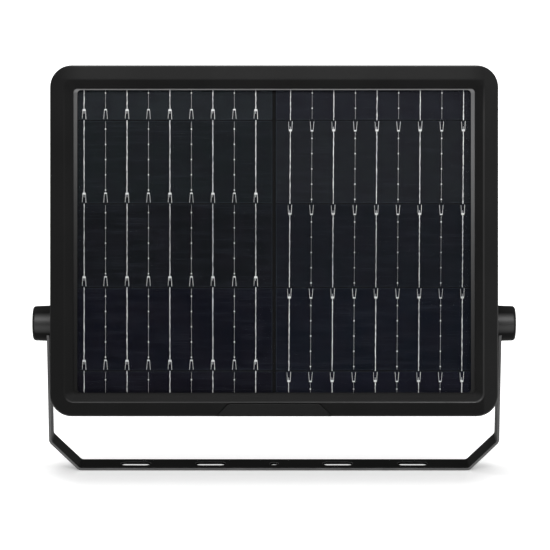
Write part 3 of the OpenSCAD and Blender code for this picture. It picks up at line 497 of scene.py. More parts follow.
finishes = {
    "frame_plastic": frameMaterial(frameFinish),
    "chin_plastic": skinMaterial("chinBlack", 0.0125, 0.0105, (0.36, 0.44), 2600, 0.08, 16, 0.14, 0.004),
    "housing_plastic": skinMaterial("housingBlack", 0.0125, 0.0095, (0.42, 0.52), 1800, 0.2, 10, 0.3, 0.02),
    "cap_plastic": capMaterial(),
    "bracket_paint": skinMaterial("bracketPaint", 0.005, 0.0038, (0.42, 0.52), 1400, 0.18, 18, 0.03),
    # Pale grey on the bracket's cut and rounded edges: a painted highlight
    "bracket_lit_edge": skinMaterial("bracketLitEdge", 0.15, 0.105, (0.36, 0.5), 1400, 0.2, 45, 0.5),
    "gasket": gasketMaterial(gasketFinish),
    "seal_rubber": skinMaterial("sealRubber", 0.01, 0.007, (0.55, 0.7), 3000, 0.1, 40, 0.3),
    "panel_glass": clearMaterial("panelGlass", (0.96, 0.98, 0.97), 0.03, 0.3, 0.05, 1.12),
    "cell_silicon": cellMaterial(cellSettings),
    "ribbon_tin": metalMaterial("ribbonTin", 0.97, 0.66, (1.0, 1.0, 1.6), (0.5, 0.65), 900, 0.15),
    "backsheet": skinMaterial("backsheetBlack", 0.003, 0.0022, (0.5, 0.6), 1600, 0.1, 20, 0.1),
    "box_plastic": skinMaterial("boxBlack", 0.02, 0.016, (0.4, 0.5), 1800, 0.15, 30),
    "clear_cover": clearMaterial("clearCover", (0.98, 0.99, 1.0), 0.02, 0.5, 0.04, 1.45),
    "tray_plastic": skinMaterial("trayWhite", 0.8, 0.76, (0.3, 0.4), 1200, 0.05, 12, 0.3),
    "board_aluminium": ledBoardMaterial(ledBoardFinish),
    "led_phosphor": glowMaterial("ledPhosphor", (0.86, 0.5, 0.03), (0.8, 0.42, 0.02), 0.1),
    "led_body": skinMaterial("ledBodyWhite", 0.8, 0.76, (0.35, 0.45), 3000, 0.05, 90),
    "cell_can": skinMaterial("cellWrap", (0.03, 0.16, 0.42), (0.026, 0.13, 0.36), (0.25, 0.35), 900, 0.05,
                             30),
    "cradle_plastic": skinMaterial("cradleGrey", 0.05, 0.04, (0.45, 0.55), 1500, 0.15, 20),
    "tab_nickel": metalMaterial("tabNickel", 0.62, 0.5, (1.0, 1.0, 1.0), (0.25, 0.38), 300),
    "board_laminate": boardMaterial("boardGreen", (0.012, 0.12, 0.045), (0.03, 0.2, 0.08)),
    "part_plastic": skinMaterial("partBlack", 0.03, 0.022, (0.35, 0.45), 2500, 0.1, 60),
    "screw_steel": metalMaterial("screwSteel", 0.3, 0.22, (1.0, 40.0, 1.0), (0.28, 0.4), 90),
    "lead_red": skinMaterial("leadRed", (0.36, 0.02, 0.015), (0.3, 0.015, 0.012), (0.4, 0.5), 2000, 0.08, 60),
    "lead_white": skinMaterial("leadWhite", 0.68, 0.6, (0.4, 0.5), 2000, 0.08, 60),
    "lead_yellow": skinMaterial("leadYellow", (0.6, 0.42, 0.02), (0.52, 0.36, 0.02), (0.4, 0.5), 2000, 0.08,
                                60),
    "sensor_can": metalMaterial("sensorCan", 0.55, 0.45, (1.0, 30.0, 1.0), (0.2, 0.32), 120),
    "lens_white": glowMaterial("lensWhite", (0.78, 0.79, 0.78), (0.66, 0.68, 0.67), 0.04),
    "button_red": skinMaterial("buttonRed", (0.42, 0.018, 0.012), (0.34, 0.014, 0.01), (0.45, 0.6), 1600,
                               0.12, 60),
    "plunger_plastic": skinMaterial("plungerWhite", 0.7, 0.62, (0.4, 0.5), 1800, 0.08, 40),
    "switch_plastic": skinMaterial("switchBlack", 0.02, 0.015, (0.4, 0.5), 1800, 0.1, 50),
    "light_pipe": glowMaterial("lightPipe", (0.24, 0.6, 0.28), (0.18, 0.5, 0.22), 0.3),
    "insert_brass": metalMaterial("insertBrass", (0.72, 0.5, 0.2), (0.6, 0.4, 0.15), (40.0, 1.0, 1.0)),
    "bolt_steel": metalMaterial("boltSteel", 0.6, 0.48, (1.0, 30.0, 30.0), (0.24, 0.36), 40),
    "friction_rubber": skinMaterial("frictionRubber", 0.012, 0.009, (0.6, 0.75), 2600, 0.15, 50, 0.3),
}
print("materials built:", len(finishes))


# Mesh helpers
def cutCorners(bm, verts, offset, steps):
    bmesh.ops.bevel(bm, geom=verts, offset=offset, affect="VERTICES", segments=steps, profile=0.5,
                    material=-1)


def shift(bm, offset, verts=None):
    bmesh.ops.translate(bm, vec=offset, verts=verts or bm.verts)


def turnVerts(bm, verts, angle, axis):
    bmesh.ops.rotate(bm, cent=(0, 0, 0), matrix=Matrix.Rotation(angle, 3, axis), verts=verts)


def vertsOf(made):
    return [part for part in made["geom"] if isinstance(part, bmesh.types.BMVert)]


def roundedLoop(bm, width, height, radius, y, centreZ=bodySize["centreZ"], steps=10, keepFace=False):
    # One rounded rectangle in the head's face plane, as a loop of edges or a face
    before = set(bm.faces)
    verts = bmesh.ops.create_grid(bm, x_segments=1, y_segments=1, size=0.5)["verts"]
    bmesh.ops.scale(bm, vec=(width, height, 1), verts=verts)
    turnVerts(bm, verts, math.pi / 2, "X")
    shift(bm, (0, y, centreZ), verts)
    cutCorners(bm, verts, radius, steps)
    face = next(f for f in bm.faces if f not in before)
    edges = list(face.edges)
    if not keepFace:
        bmesh.ops.delete(bm, geom=[face], context="FACES_ONLY")
    return edges


def loft(bm, sections, centreZ=bodySize["centreZ"], steps=10, closed=False):
    # Bridges a row of rounded rectangles, each (width, height, radius, depth), into
    # a closed ring or into a solid with a face at each end
    loops = []
    for i, (width, height, radius, y) in enumerate(sections):
        capped = not closed and i in (0, len(sections) - 1)
        loops.append(roundedLoop(bm, width, height, radius, y, centreZ, steps, capped))
    pairs = list(zip(loops, loops[1:]))
    if closed:
        pairs.append((loops[-1], loops[0]))
    for first, second in pairs:
        bmesh.ops.bridge_loops(bm, edges=first + second)


def inset(width, height, radius, by, y):
    return (width - 2 * by, height - 2 * by, max(radius - by, 0.3), y)


def quarterRound(width, height, radius, depthAt, size, inward, steps=5):
    # Sections of a rounded outer edge, from the side wall on to the face
    rows = []
    for i in range(steps + 1):
        turn = math.pi / 2 * i / steps
        rows.append(inset(width, height, radius, size * (1 - math.cos(turn)),
                          depthAt + inward * size * (1 - math.sin(turn))))
    return rows


def addRod(bm, radius, low, high, x=0.0, z=0.0, axis="Y", segments=48):
    # A rod along the depth of the head at (x, z), or across it at the height z
    verts = bmesh.ops.create_cone(bm, cap_ends=True, segments=segments, radius1=radius, radius2=radius,
                                  depth=high - low)["verts"]
    middle = (low + high) / 2
    if axis == "Y":
        turnVerts(bm, verts, -math.pi / 2, "X")
        shift(bm, (x, middle, z), verts)
    else:
        turnVerts(bm, verts, math.pi / 2, "Y")
        shift(bm, (middle, 0, z), verts)


def addBlock(bm, low, high):
    low, high = Vector(low), Vector(high)
    verts = bmesh.ops.create_cube(bm, size=1)["verts"]
    bmesh.ops.scale(bm, vec=high - low, verts=verts)
    shift(bm, (low + high) / 2, verts)


def addSpin(bm, profile, axis, steps=48):
    # Turns a row of (radius, along) points round the X or Y axis into a closed form
    verts = []
    for radius, along in profile:
        point = (along, 0, radius) if axis == "X" else (0, along, radius)
        verts.append(bmesh.ops.create_vert(bm, co=point)["vert"][0])
    edges = [bm.edges.new(pair) for pair in zip(verts, verts[1:])]
    direction = (1, 0, 0) if axis == "X" else (0, 1, 0)
    bmesh.ops.spin(bm, geom=verts + edges, cent=(0, 0, 0), axis=direction, dvec=(0, 0, 0),
                   angle=2 * math.pi, steps=steps, use_merge=True, use_duplicate=False)
    bmesh.ops.remove_doubles(bm, verts=bm.verts, dist=0.0005)
    bmesh.ops.recalc_face_normals(bm, faces=bm.faces)


def roundOver(radius, top, size):
    # Profile points of a turned form's rounded edge, from its side on to its top
    turns = [math.pi / 8 * i for i in range(1, 5)]
    return [(radius - size * (1 - math.cos(a)), top - size * (1 - math.sin(a))) for a in turns]


def addForm(bm, part):
    # Adds a finished small form to a larger one
    mesh = bpy.data.meshes.new("form")
    part.to_mesh(mesh)
    part.free()
    bm.from_mesh(mesh)
    bpy.data.meshes.remove(mesh)


def holdMesh(bm, name):
    bmesh.ops.recalc_face_normals(bm, faces=bm.faces)
    mesh = bpy.data.meshes.new(name)
    bm.to_mesh(mesh)
    bm.free()
    return addObject(name, mesh)


def combine(base, tool, operation):
    # Joins or cuts two closed forms and gives the result back for more work
    first, second = holdMesh(base, "combineBase"), holdMesh(tool, "combineTool")
    step = first.modifiers.new("combine", "BOOLEAN")
    step.operation = operation
    step.solver = "EXACT"
    step.object = second
    seen = first.evaluated_get(bpy.context.evaluated_depsgraph_get())
    result = bmesh.new()
    result.from_mesh(seen.to_mesh())
    seen.to_mesh_clear()
    for holder in (first, second):
        mesh = holder.data
        bpy.data.objects.remove(holder)
        bpy.data.meshes.remove(mesh)
    bmesh.ops.dissolve_degenerate(result, edges=result.edges, dist=0.0001)
    return result


def addPiece(name, bm, node, slot, looks=(), body="head", place=headPlace, sharp=32, edge=0.0, edgeSteps=2,
             edgeMaterial=-1, weighted=True):
    # One finished piece in the place of one CAD node
    bmesh.ops.recalc_face_normals(bm, faces=bm.faces)
    bmesh.ops.transform(bm, matrix=place, verts=bm.verts)
    mesh = bpy.data.meshes.new(name)
    bm.to_mesh(mesh)
    bm.free()
    for polygon in mesh.polygons:
        polygon.use_smooth = True
    mesh.set_sharp_from_angle(angle=math.radians(sharp))
    for look in looks or (slot,):
        mesh.materials.append(finishes[look])
    piece = addObject(name, mesh)
    if edge:
        rounding = piece.modifiers.new("edges", "BEVEL")
        rounding.width = edge * millimetre
        rounding.segments = edgeSteps
        rounding.profile = 0.5
        rounding.limit_method = "ANGLE"
        rounding.angle_limit = math.radians(sharp)
        rounding.use_clamp_overlap = True
        rounding.material = edgeMaterial
        rounding.miter_outer = "MITER_ARC"
    if weighted:
        normals = piece.modifiers.new("normals", "WEIGHTED_NORMAL")
        normals.keep_sharp = True
        normals.weight = 60
    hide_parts(node)
    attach(piece, body)


# Solar frame and chin cover
frameSettings = {"rimWidth": 11.3, "bevelWidth": 7.2, "bevelDepth": 5, "bevelRadius": 7.5, "openingRadius": 3,
                 "depth": 13.5, "edgeRound": 1.3, "rimRound": 2.6, "skirtWall": 2.5, "frontThickness": 3,
                 "seatDepth": 6, "lip": 5, "pocketRadius": 6, "rib": 2}
chinSettings = {"bottomWidth": 94.2, "topWidth": 74.2, "height": 10.5, "thickness": 2.2, "corner": 3,
                "gap": 0.5, "sink": 0.1}


def addChinForm(bm, s, gap, front, back, below=0.0):
    halfBottom = s["bottomWidth"] / 2 - gap
    halfTop = s["topWidth"] / 2 - gap
    low = headBottom - below
    high = headBottom + s["height"] - gap
    verts = bmesh.ops.create_grid(bm, x_segments=1, y_segments=1, size=1)["verts"]
    turnVerts(bm, verts, math.pi / 2, "X")
    slope = (halfBottom - halfTop) / (high - headBottom)
    for vert in verts:
        above = vert.co.z > 0
        half = halfTop if above else halfBottom + slope * below
        vert.co = Vector((half if vert.co.x > 0 else -half, front, high if above else low))
    corners = [v for v in verts if v.co.z > headBottom + 1]
    cutCorners(bm, corners, s["corner"] * 0.7, 6)
    face = next(iter(bm.faces))
    pushed = bmesh.ops.extrude_face_region(bm, geom=[face])
    shift(bm, (0, back - front, 0), vertsOf(pushed))


def buildSolarFrame(s):
    width, height, radius = bodySize["width"], bodySize["height"], bodySize["cornerRadius"]
    front = bodySize["front"]
    back = front + s["depth"]
    sections = [inset(width, height, radius, 0.3, back), (width, height, radius, back - 0.3)]
    sections += quarterRound(width, height, radius, front, s["edgeRound"], 1)
    # Soft shoulder between the rim and the bevel
    slope = math.atan2(s["bevelDepth"], s["bevelWidth"])
    reach = s["rimRound"] * math.tan(slope / 2)
    steps = 5
    for i in range(steps + 1):
        turn = slope * i / steps
        along = s["rimWidth"] - reach + s["rimRound"] * math.sin(turn)
        down = s["rimRound"] * (1 - math.cos(turn))
        row = inset(width, height, 0, along, front + down)
        corner = s["bevelRadius"] + (1 - i / steps) * reach - (i / steps) * reach * 0.5
        sections.append((row[0], row[1], corner, row[3]))
    openingInset = s["rimWidth"] + s["bevelWidth"]
    opening = (width - 2 * openingInset, height - 2 * openingInset)
    sections += [
        (opening[0] + 0.9, opening[1] + 0.9, s["openingRadius"] + 0.4, front + s["bevelDepth"] - 0.3),
        (opening[0] + 0.25, opening[1] + 0.25, s["openingRadius"], front + s["bevelDepth"] + 0.02),
        (opening[0], opening[1], s["openingRadius"], front + s["bevelDepth"] + 0.3),
        (opening[0], opening[1], s["openingRadius"], front + s["seatDepth"]),
    ]
    pocket = (opening[0] + 2 * s["lip"], opening[1] + 2 * s["lip"])
    ribOuter = (pocket[0] + 2 * s["rib"], pocket[1] + 2 * s["rib"], s["pocketRadius"] + s["rib"])
    inner = inset(width, height, radius, s["skirtWall"], 0)
    under = front + s["frontThickness"]
    sections += [
        (*pocket, s["pocketRadius"], front + s["seatDepth"]), (*pocket, s["pocketRadius"], back),
        (*ribOuter, back), (*ribOuter, under), (*inner[:3], under), (*inner[:3], back),
    ]
    bm = bmesh.new()
    loft(bm, sections, steps=12, closed=True)
    cutter = bmesh.new()
    addChinForm(cutter, chinSettings, 0, front - 3, front + chinSettings["thickness"], below=4)
    bm = combine(bm, cutter, "DIFFERENCE")
    addPiece("solarFrame", bm, "solar_frame", "frame_plastic")


def buildChinCover(s):
    bm = bmesh.new()
    addChinForm(bm, s, s["gap"], bodySize["front"] + s["sink"], bodySize["front"] + s["thickness"])
    addPiece("chinCover", bm, "chin_cover", "chin_plastic", edge=0.5, edgeSteps=3)


buildSolarFrame(frameSettings)
buildChinCover(chinSettings)
print("solar frame built")


# Solar panel: glass and ribbons
panelSettings = {"width": 331, "height": 253, "radius": 4, "front": -25.2, "back": -22, "edge": 0.5}
ribbonSettings = {"count": 9, "wide": 0.55, "narrow": 0.13, "front": -22, "back": -21.8,
                  "halfHeight": 125.5, "boundaries": (97.4, 30.0, -37.4, -104.8),
                  "forkLength": 9, "forkOverlap": 0.5, "resume": 1.0, "solderPitch": 12.3,
                  "solderWidth": 0.95, "solderHeight": 1.0, "solderClear": 2, "jag": 0.17, "jagStep": 1.5,
                  "lean": 1.6}
# Bars of a fork: across and up from the cell boundary at the foot and at the head,
# then the width at each. The first is the cross bar.
forkBars = {"wide": [(0, 7.4, 0, 9, 2.2, 2.2), (1.5, 0.8, 1.15, 8.5, 0.39, 0.3),
                     (-1.5, 1.2, -1.1, 8.5, 0.24, 0.3), (-0.1, 5.2, 0, 9, 0.25, 0.495)],
            "narrow": [(0, 8, 0, 9, 2, 2), (-1.5, 1, -0.9, 8.5, 0.3, 0.3), (1.5, 1, 0.9, 8.5, 0.3, 0.3)]}


def buildPanelGlass(s):
    bm = bmesh.new()
    e = s["edge"]
    size = (s["width"], s["height"], s["radius"])
    loft(bm, [inset(*size, e, s["front"]), (*size, s["front"] + e), (*size, s["back"] - e),
              inset(*size, e, s["back"])], steps=8)
    addPiece("panelGlass", bm, "panel_glass", "panel_glass")


def addRibbon(bm, s, x0, z0, x1, z1, w0, w1, rng=None):
    # A flat bar from (x0, z0) up to (x1, z1); a wide one is a little ragged along its sides
    part = bmesh.new()
    addBlock(part, (-0.5, s["front"], 0), (0.5, s["back"], 1))
    if rng:
        cuts = max(int(abs(z1 - z0) / s["jagStep"]) - 1, 1)
        tall = [e for e in part.edges if abs(e.verts[0].co.z - e.verts[1].co.z) > 0.5]
        bmesh.ops.subdivide_edges(part, edges=tall, cuts=cuts, use_grid_fill=True)
    jags = {}
    for vert in part.verts:
        t = vert.co.z
        half = (w0 + (w1 - w0) * t) / 2
        key = (round(t, 3), vert.co.x > 0)
        if rng and key not in jags:
            jags[key] = rng.uniform(-s["jag"], s["jag"]) if 0.001 < t < 0.999 else 0.0
        side = half + jags.get(key, 0.0)
        vert.co.x = x0 + (x1 - x0) * t + (side if vert.co.x > 0 else -side)
        vert.co.z = z0 + (z1 - z0) * t
    addForm(bm, part)


def addFork(bm, s, kind, x, boundary, flip):
    # Ribbon end over a cell boundary: a cross bar and two thin legs that spread
    for x0, z0, x1, z1, w0, w1 in forkBars[kind]:
        addRibbon(bm, s, x + x0, boundary + flip * z0, x + x1, boundary + flip * z1, w0, w1)


def buildRibbons(s, name, side, centreX, pitch, node, seed):
    # Forks stand on the boundaries of the left string and hang from those of the right
    rng = random.Random(seed)
    bm = bmesh.new()
    centre, half = bodySize["centreZ"], s["halfHeight"]
    ends = [centre + z for z in (half, *s["boundaries"], -half)]
    for i in range(s["count"]):
        x = centreX + (i - (s["count"] - 1) / 2) * pitch
        wide = i % 2 == 0
        kind = "wide" if wide else "narrow"
        resume = 0.0 if wide else s["resume"]
        forkEnd = s["forkLength"] - (0.0 if wide else s["forkOverlap"])
        above, below = (resume, forkEnd) if side < 0 else (forkEnd, resume)
        for row, (high, low) in enumerate(zip(ends, ends[1:])):
            first, last = row == 0, row == len(ends) - 2
            top = high if first else high - above
            bottom = low if last else low + below
            if side < 0 and not last:
                addFork(bm, s, kind, x, low, 1)
            elif side > 0 and not first:
                addFork(bm, s, kind, x, high, -1)
            addRibbon(bm, s, x, bottom, x, top, s[kind], s[kind], rng if wide else None)
            if not wide:
                z = top - s["solderPitch"] / 2
                while z > bottom + s["solderClear"]:
                    addRibbon(bm, s, x, z - s["solderHeight"] / 2, x, z + s["solderHeight"] / 2,
                              s["solderWidth"], s["solderWidth"])
                    z -= s["solderPitch"]
    if side > 0:
        for vert in bm.verts:
            vert.co.x -= s["lean"] * (centre + half - vert.co.z) / (2 * half)
    addPiece(name, bm, node, "ribbon_tin", weighted=False)


buildPanelGlass(panelSettings)
buildRibbons(ribbonSettings, "leftRibbons", -1, -84.03, 17.31, "left_ribbons", 11)
buildRibbons(ribbonSettings, "rightRibbons", 1, 83.1, 17.44, "right_ribbons", 12)
print("solar panel built")


# Lamp housing and clear cover
lampSettings = {"front": -17.5, "chamfer": 4, "backRound": 0.8, "wall": 2.5, "edgeRound": 0.5,
                "coverWidth": 300,
                "coverHeight": 146, "coverRadius": 8, "coverThickness": 3, "coverGap": 0.4, "coverSink": 0.2,
                "coverZ": 112.8, "recess": 4, "block": 6.5, "blockMargin": 10, "windowWidth": 288,
                "windowHeight": 134, "windowRadius": 5, "sensorZ": -53.2, "domeRadius": 12,
                "buttonX": -50, "buttonRadius": 6, "lightX": 49, "lightPitch": 6, "lightRadius": 1.5,
                "screwRadius": 2.2, "boreRadius": 3.6, "boreDepth": 5, "bossRadius": 6, "boreChamfer": 0.5,
                "insertRadius": 6.02, "pivotBlock": 10, "pivotDepth": 15}
screwPlaces = ([(x * 168.5, bodySize["centreZ"] + z * 129.5) for x in (-1, 1) for z in (-1, 1)]
               + [(x * 62, bodySize["centreZ"] + 133) for x in (-1, 1)]
               + [(x * 110, bodySize["centreZ"] - 133) for x in (-1, 1)]
               + [(x * 172, bodySize["centreZ"] + 30) for x in (-1, 1)])


def buildLampHousing(s):
    width, height, radius = bodySize["width"], bodySize["height"], bodySize["cornerRadius"]
    back = bodySize["back"]
    inner = back - s["wall"]
    size = (width, height, radius)
    shallow = s["chamfer"] - 1
    turn = s["backRound"]
    sections = [
        inset(*size, s["wall"] + shallow, inner), inset(*size, s["wall"], inner - shallow),
        inset(*size, s["wall"], s["front"]), inset(*size, s["edgeRound"] * 0.6, s["front"]),
        (*size, s["front"] + s["edgeRound"] * 0.6), (*size, back - s["chamfer"] - turn),
        inset(*size, 0.17 * turn, back - s["chamfer"] - 0.35 * turn),
        inset(*size, 0.7 * turn, back - s["chamfer"] + 0.7 * turn),
        inset(*size, s["chamfer"] - 0.7 * turn, back - 0.7 * turn),
        inset(*size, s["chamfer"] + 0.35 * turn, back - 0.17 * turn),
        inset(*size, s["chamfer"] + turn, back),
    ]
    bm = bmesh.new()
    loft(bm, sections, steps=12)
    # Inside: the window's ledge, screw bosses and pivot blocks
    added = bmesh.new()
    margin = 2 * s["blockMargin"]
    loft(added, [(s["coverWidth"] + margin, s["coverHeight"] + margin, s["coverRadius"], back - s["block"]),
                 (s["coverWidth"] + margin, s["coverHeight"] + margin, s["coverRadius"], inner + 0.4)],
         centreZ=s["coverZ"], steps=6)
    bm = combine(bm, added, "UNION")
    added = bmesh.new()
    for x, z in screwPlaces:
        addRod(added, s["bossRadius"], s["front"], inner + 0.5, x, z, segments=32)
    for side in (-1, 1):
        block = s["pivotBlock"]
        x = sorted((side * (width / 2 - s["pivotDepth"]), side * (width / 2 - 1.5)))
        addBlock(added, (x[0], -block, -block), (x[1], inner + 0.5, block))
    bm = combine(bm, added, "UNION")
    # Cuts: recess, window, screw bores, sensor, button, lights and inserts
    cutter = bmesh.new()
    rim = s["boreChamfer"]
    cover = (s["coverWidth"], s["coverHeight"], s["coverRadius"])
    loft(cutter, [inset(*cover, 0, back - s["recess"]), inset(*cover, 0, back - rim),
                  inset(*cover, -rim - 1, back + 1)],
         centreZ=s["coverZ"], steps=8)
    bm = combine(bm, cutter, "DIFFERENCE")
    cutter = bmesh.new()
    window = (s["windowWidth"], s["windowHeight"], s["windowRadius"])
    loft(cutter, [(*window, back - s["block"] - 1), (*window, back - s["recess"] + 1)],
         centreZ=s["coverZ"], steps=6)
    for x, z in screwPlaces:
        addBore(cutter, x, z, s["boreRadius"], back - s["boreDepth"], back, rim)
    for x, radius2 in ((0, s["domeRadius"] + 0.1), (s["buttonX"], s["buttonRadius"] + 0.1)):
        addBore(cutter, x, s["sensorZ"], radius2, inner - 1, back, rim)
    for i in range(4):
        addBore(cutter, s["lightX"] + (i - 1.5) * s["lightPitch"], s["sensorZ"], s["lightRadius"] + 0.1,
                inner - 1, back, rim * 0.5)
    bm = combine(bm, cutter, "DIFFERENCE")
    cutter = bmesh.new()
    for x, z in screwPlaces:
        addRod(cutter, s["screwRadius"], s["front"] - 1, back - s["boreDepth"] + 0.5, x, z, segments=24)
    for side in (-1, 1):
        ends = sorted((side * (width / 2 - 13), side * (width / 2 + 1)))
        addRod(cutter, s["insertRadius"], *ends, axis="X", segments=40)
    bm = combine(bm, cutter, "DIFFERENCE")
    addPiece("lampHousing", bm, "lamp_housing", "housing_plastic")


def addBore(bm, x, z, radius, y0, y1, rim):
    # A hole's cutter with a small countersink at its mouth, as one closed form
    part = bmesh.new()
    addSpin(part, [(0, y0), (radius, y0), (radius, y1 - rim), (radius + rim + 1, y1 + 1), (0, y1 + 1)], "Y",
            40)
    shift(part, (x, 0, z))
    addForm(bm, part)


def buildLightCover(s):
    back = bodySize["back"] - s["coverSink"]
    size = (s["coverWidth"] - 2 * s["coverGap"], s["coverHeight"] - 2 * s["coverGap"],
            s["coverRadius"] - s["coverGap"])
    rows = [inset(*size, 0.3, back - s["coverThickness"]), (*size, back - s["coverThickness"] + 0.3),
            (*size, back - 0.6), inset(*size, 0.18, back - 0.18), inset(*size, 0.6, back)]
    bm = bmesh.new()
    loft(bm, rows, centreZ=s["coverZ"], steps=8)
    addPiece("lightCover", bm, "light_cover", "clear_cover")


buildLampHousing(lampSettings)
buildLightCover(lampSettings)
print("lamp housing built")


# LED chips
chipSettings = {"columns": 18, "rows": 8, "width": 3.5, "height": 2.8, "thickness": 0.8, "edge": 14,
                "back": 0.1, "window": 0.32, "windowDip": 0.12}


def buildLedChips(s):
    stepX = (lampSettings["windowWidth"] - 2 * s["edge"]) / (s["columns"] - 1)
    stepZ = (lampSettings["windowHeight"] - 2 * s["edge"]) / (s["rows"] - 1)
    bm = bmesh.new()
    for i in range(s["columns"]):
        for j in range(s["rows"]):
            x = (i - (s["columns"] - 1) / 2) * stepX
            z = lampSettings["coverZ"] + (j - (s["rows"] - 1) / 2) * stepZ
            addBlock(bm, (x - s["width"] / 2, s["back"], z - s["height"] / 2),
                     (x + s["width"] / 2, s["back"] + s["thickness"], z + s["height"] / 2))
    bmesh.ops.recalc_face_normals(bm, faces=bm.faces)
    tops = [f for f in bm.faces if f.normal.y > 0.9]
    bmesh.ops.inset_individual(bm, faces=tops, thickness=s["window"], depth=-s["windowDip"])
    for face in tops:
        face.material_index = 1
    addPiece("ledChips", bm, "led_chips", "led_phosphor", ("led_body", "led_phosphor"), weighted=False)


buildLedChips(chipSettings)


# Screws, sensor, button and level lights
screwSettings = {"shank": 2, "head": 3.4, "headHeight": 2.6, "socket": 1.95, "socketDepth": 1.5,
                 "tip": -27, "seat": 9, "round": 0.6}
domeSettings = {"radius": 11.78, "thickness": 1, "flange": 2, "flangeThickness": 1.5, "rings": 7, "sides": 24,
                "facetInset": 0.34, "facetRise": 0.22, "facetsFrom": 2.2, "plainTop": 2}
buttonSettings = {"radius": 6, "flange": 1.2, "flangeThickness": 1.6, "proud": 1.8, "gap": 0.1, "round": 0.9}


def buildHousingScrews(s):
    bm = bmesh.new()
    for x, z in screwPlaces:
        part = bmesh.new()
        top = s["seat"] + s["headHeight"]
        r = s["round"]
        profile = [(0, s["tip"]), (s["shank"] - 0.7, s["tip"]), (s["shank"], s["tip"] + 1.2),
                   (s["shank"], s["seat"]), (s["head"], s["seat"]), (s["head"], top - r)]
        profile += roundOver(s["head"], top, r) + [(0, top)]
        addSpin(part, profile, "Y", 24)
        socket = bmesh.new()
        addRod(socket, s["socket"], top - s["socketDepth"], top + 1, segments=6)
        part = combine(part, socket, "DIFFERENCE")
        shift(part, (x, 0, z))
        addForm(bm, part)
    addPiece("housingScrews", bm, "housing_screws", "screw_steel", weighted=False)


def buildSensorLens(s):
    # Faceted dome: rings of shallow lens cells, over a plain flange inside the housing
    bm = bmesh.new()
    inner = bodySize["back"] - lampSettings["wall"]
    rows = []
    for i in range(s["rings"] + 1):
        a = math.pi / 2 * i / s["rings"]
        rows.append((s["radius"] * math.cos(a), s["radius"] * math.sin(a)))
    hollow = s["radius"] - s["thickness"]
    rows = [(hollow, -s["flangeThickness"]), (s["radius"] + s["flange"], -s["flangeThickness"]),
            (s["radius"] + s["flange"], 0)] + [(max(r, 0), y) for r, y in rows]
    addSpin(bm, rows, "Y", s["sides"])
    lensFaces = []
    for face in bm.faces:
        centre = face.calc_center_median()
        if centre.y > s["facetsFrom"] and centre.xz.length > s["plainTop"] and centre.length > hollow:
            lensFaces.append(face)
    bmesh.ops.inset_individual(bm, faces=lensFaces, thickness=s["facetInset"], depth=s["facetRise"])
    inside = bmesh.new()
    addSpin(inside, [(hollow * math.cos(math.pi / 2 * i / 8), hollow * math.sin(math.pi / 2 * i / 8))
                     for i in range(9)], "Y", s["sides"])
    bmesh.ops.reverse_faces(inside, faces=inside.faces)
    addForm(bm, inside)
    # The wall between the flange's hole and the hollow
    rim = [e for e in bm.edges if e.is_boundary]
    bmesh.ops.bridge_loops(bm, edges=rim)
    shift(bm, (0, inner, lampSettings["sensorZ"]))
    addPiece("sensorLens", bm, "pir_lens", "lens_white", sharp=14, weighted=False)


def buildPowerButton(s):
    inner = bodySize["back"] - lampSettings["wall"]
    top = bodySize["back"] + s["proud"]
    flangeTop = inner - s["gap"]
    r = s["round"]
    low = flangeTop - s["flangeThickness"]
    profile = [(0, low), (s["radius"] + s["flange"], low),
               (s["radius"] + s["flange"], flangeTop), (s["radius"], flangeTop), (s["radius"], top - r)]
    profile += roundOver(s["radius"], top, r)
    # A shallow dish for the fingertip
    profile += [(3.9, top), (3.6, top - 0.12), (2.4, top - 0.4), (1.2, top - 0.52), (0, top - 0.56)]
    bm = bmesh.new()
    addSpin(bm, profile, "Y", 48)
    shift(bm, (lampSettings["buttonX"], 0, lampSettings["sensorZ"]))
    addPiece("powerButton", bm, "power_button", "button_red", body="power_button")


def buildLevelLights(s):
    bm = bmesh.new()
    start = bodySize["back"] - lampSettings["wall"] - 6.9
    top = bodySize["back"]
    for i in range(4):
        part = bmesh.new()
        r = s["lightRadius"]
        addSpin(part, [(0, start), (r, start), (r, top - 0.8), (r * 0.92, top - 0.42), (r * 0.7, top - 0.18),
                       (r * 0.38, top - 0.04), (0, top)], "Y", 24)
        shift(part, (s["lightX"] + (i - 1.5) * s["lightPitch"], 0, s["sensorZ"]))
        addForm(bm, part)
    addPiece("levelLights", bm, "level_lights", "light_pipe")


buildHousingScrews(screwSettings)
buildSensorLens(domeSettings)
buildPowerButton(buttonSettings)
buildLevelLights(lampSettings)
print("screws, sensor and button built")


# Bracket
bracketSettings = {"width": 25, "thickness": 2, "halfWidth": 184.5, "bend": 24, "bendRound": 2.2,
                   "armTop": 134, "slotX": (52.5, 114.3), "slotLength": 25, "slotWidth": 9,
                   "centreHole": 7.5, "boltHole": 8.12, "edge": 0.45}


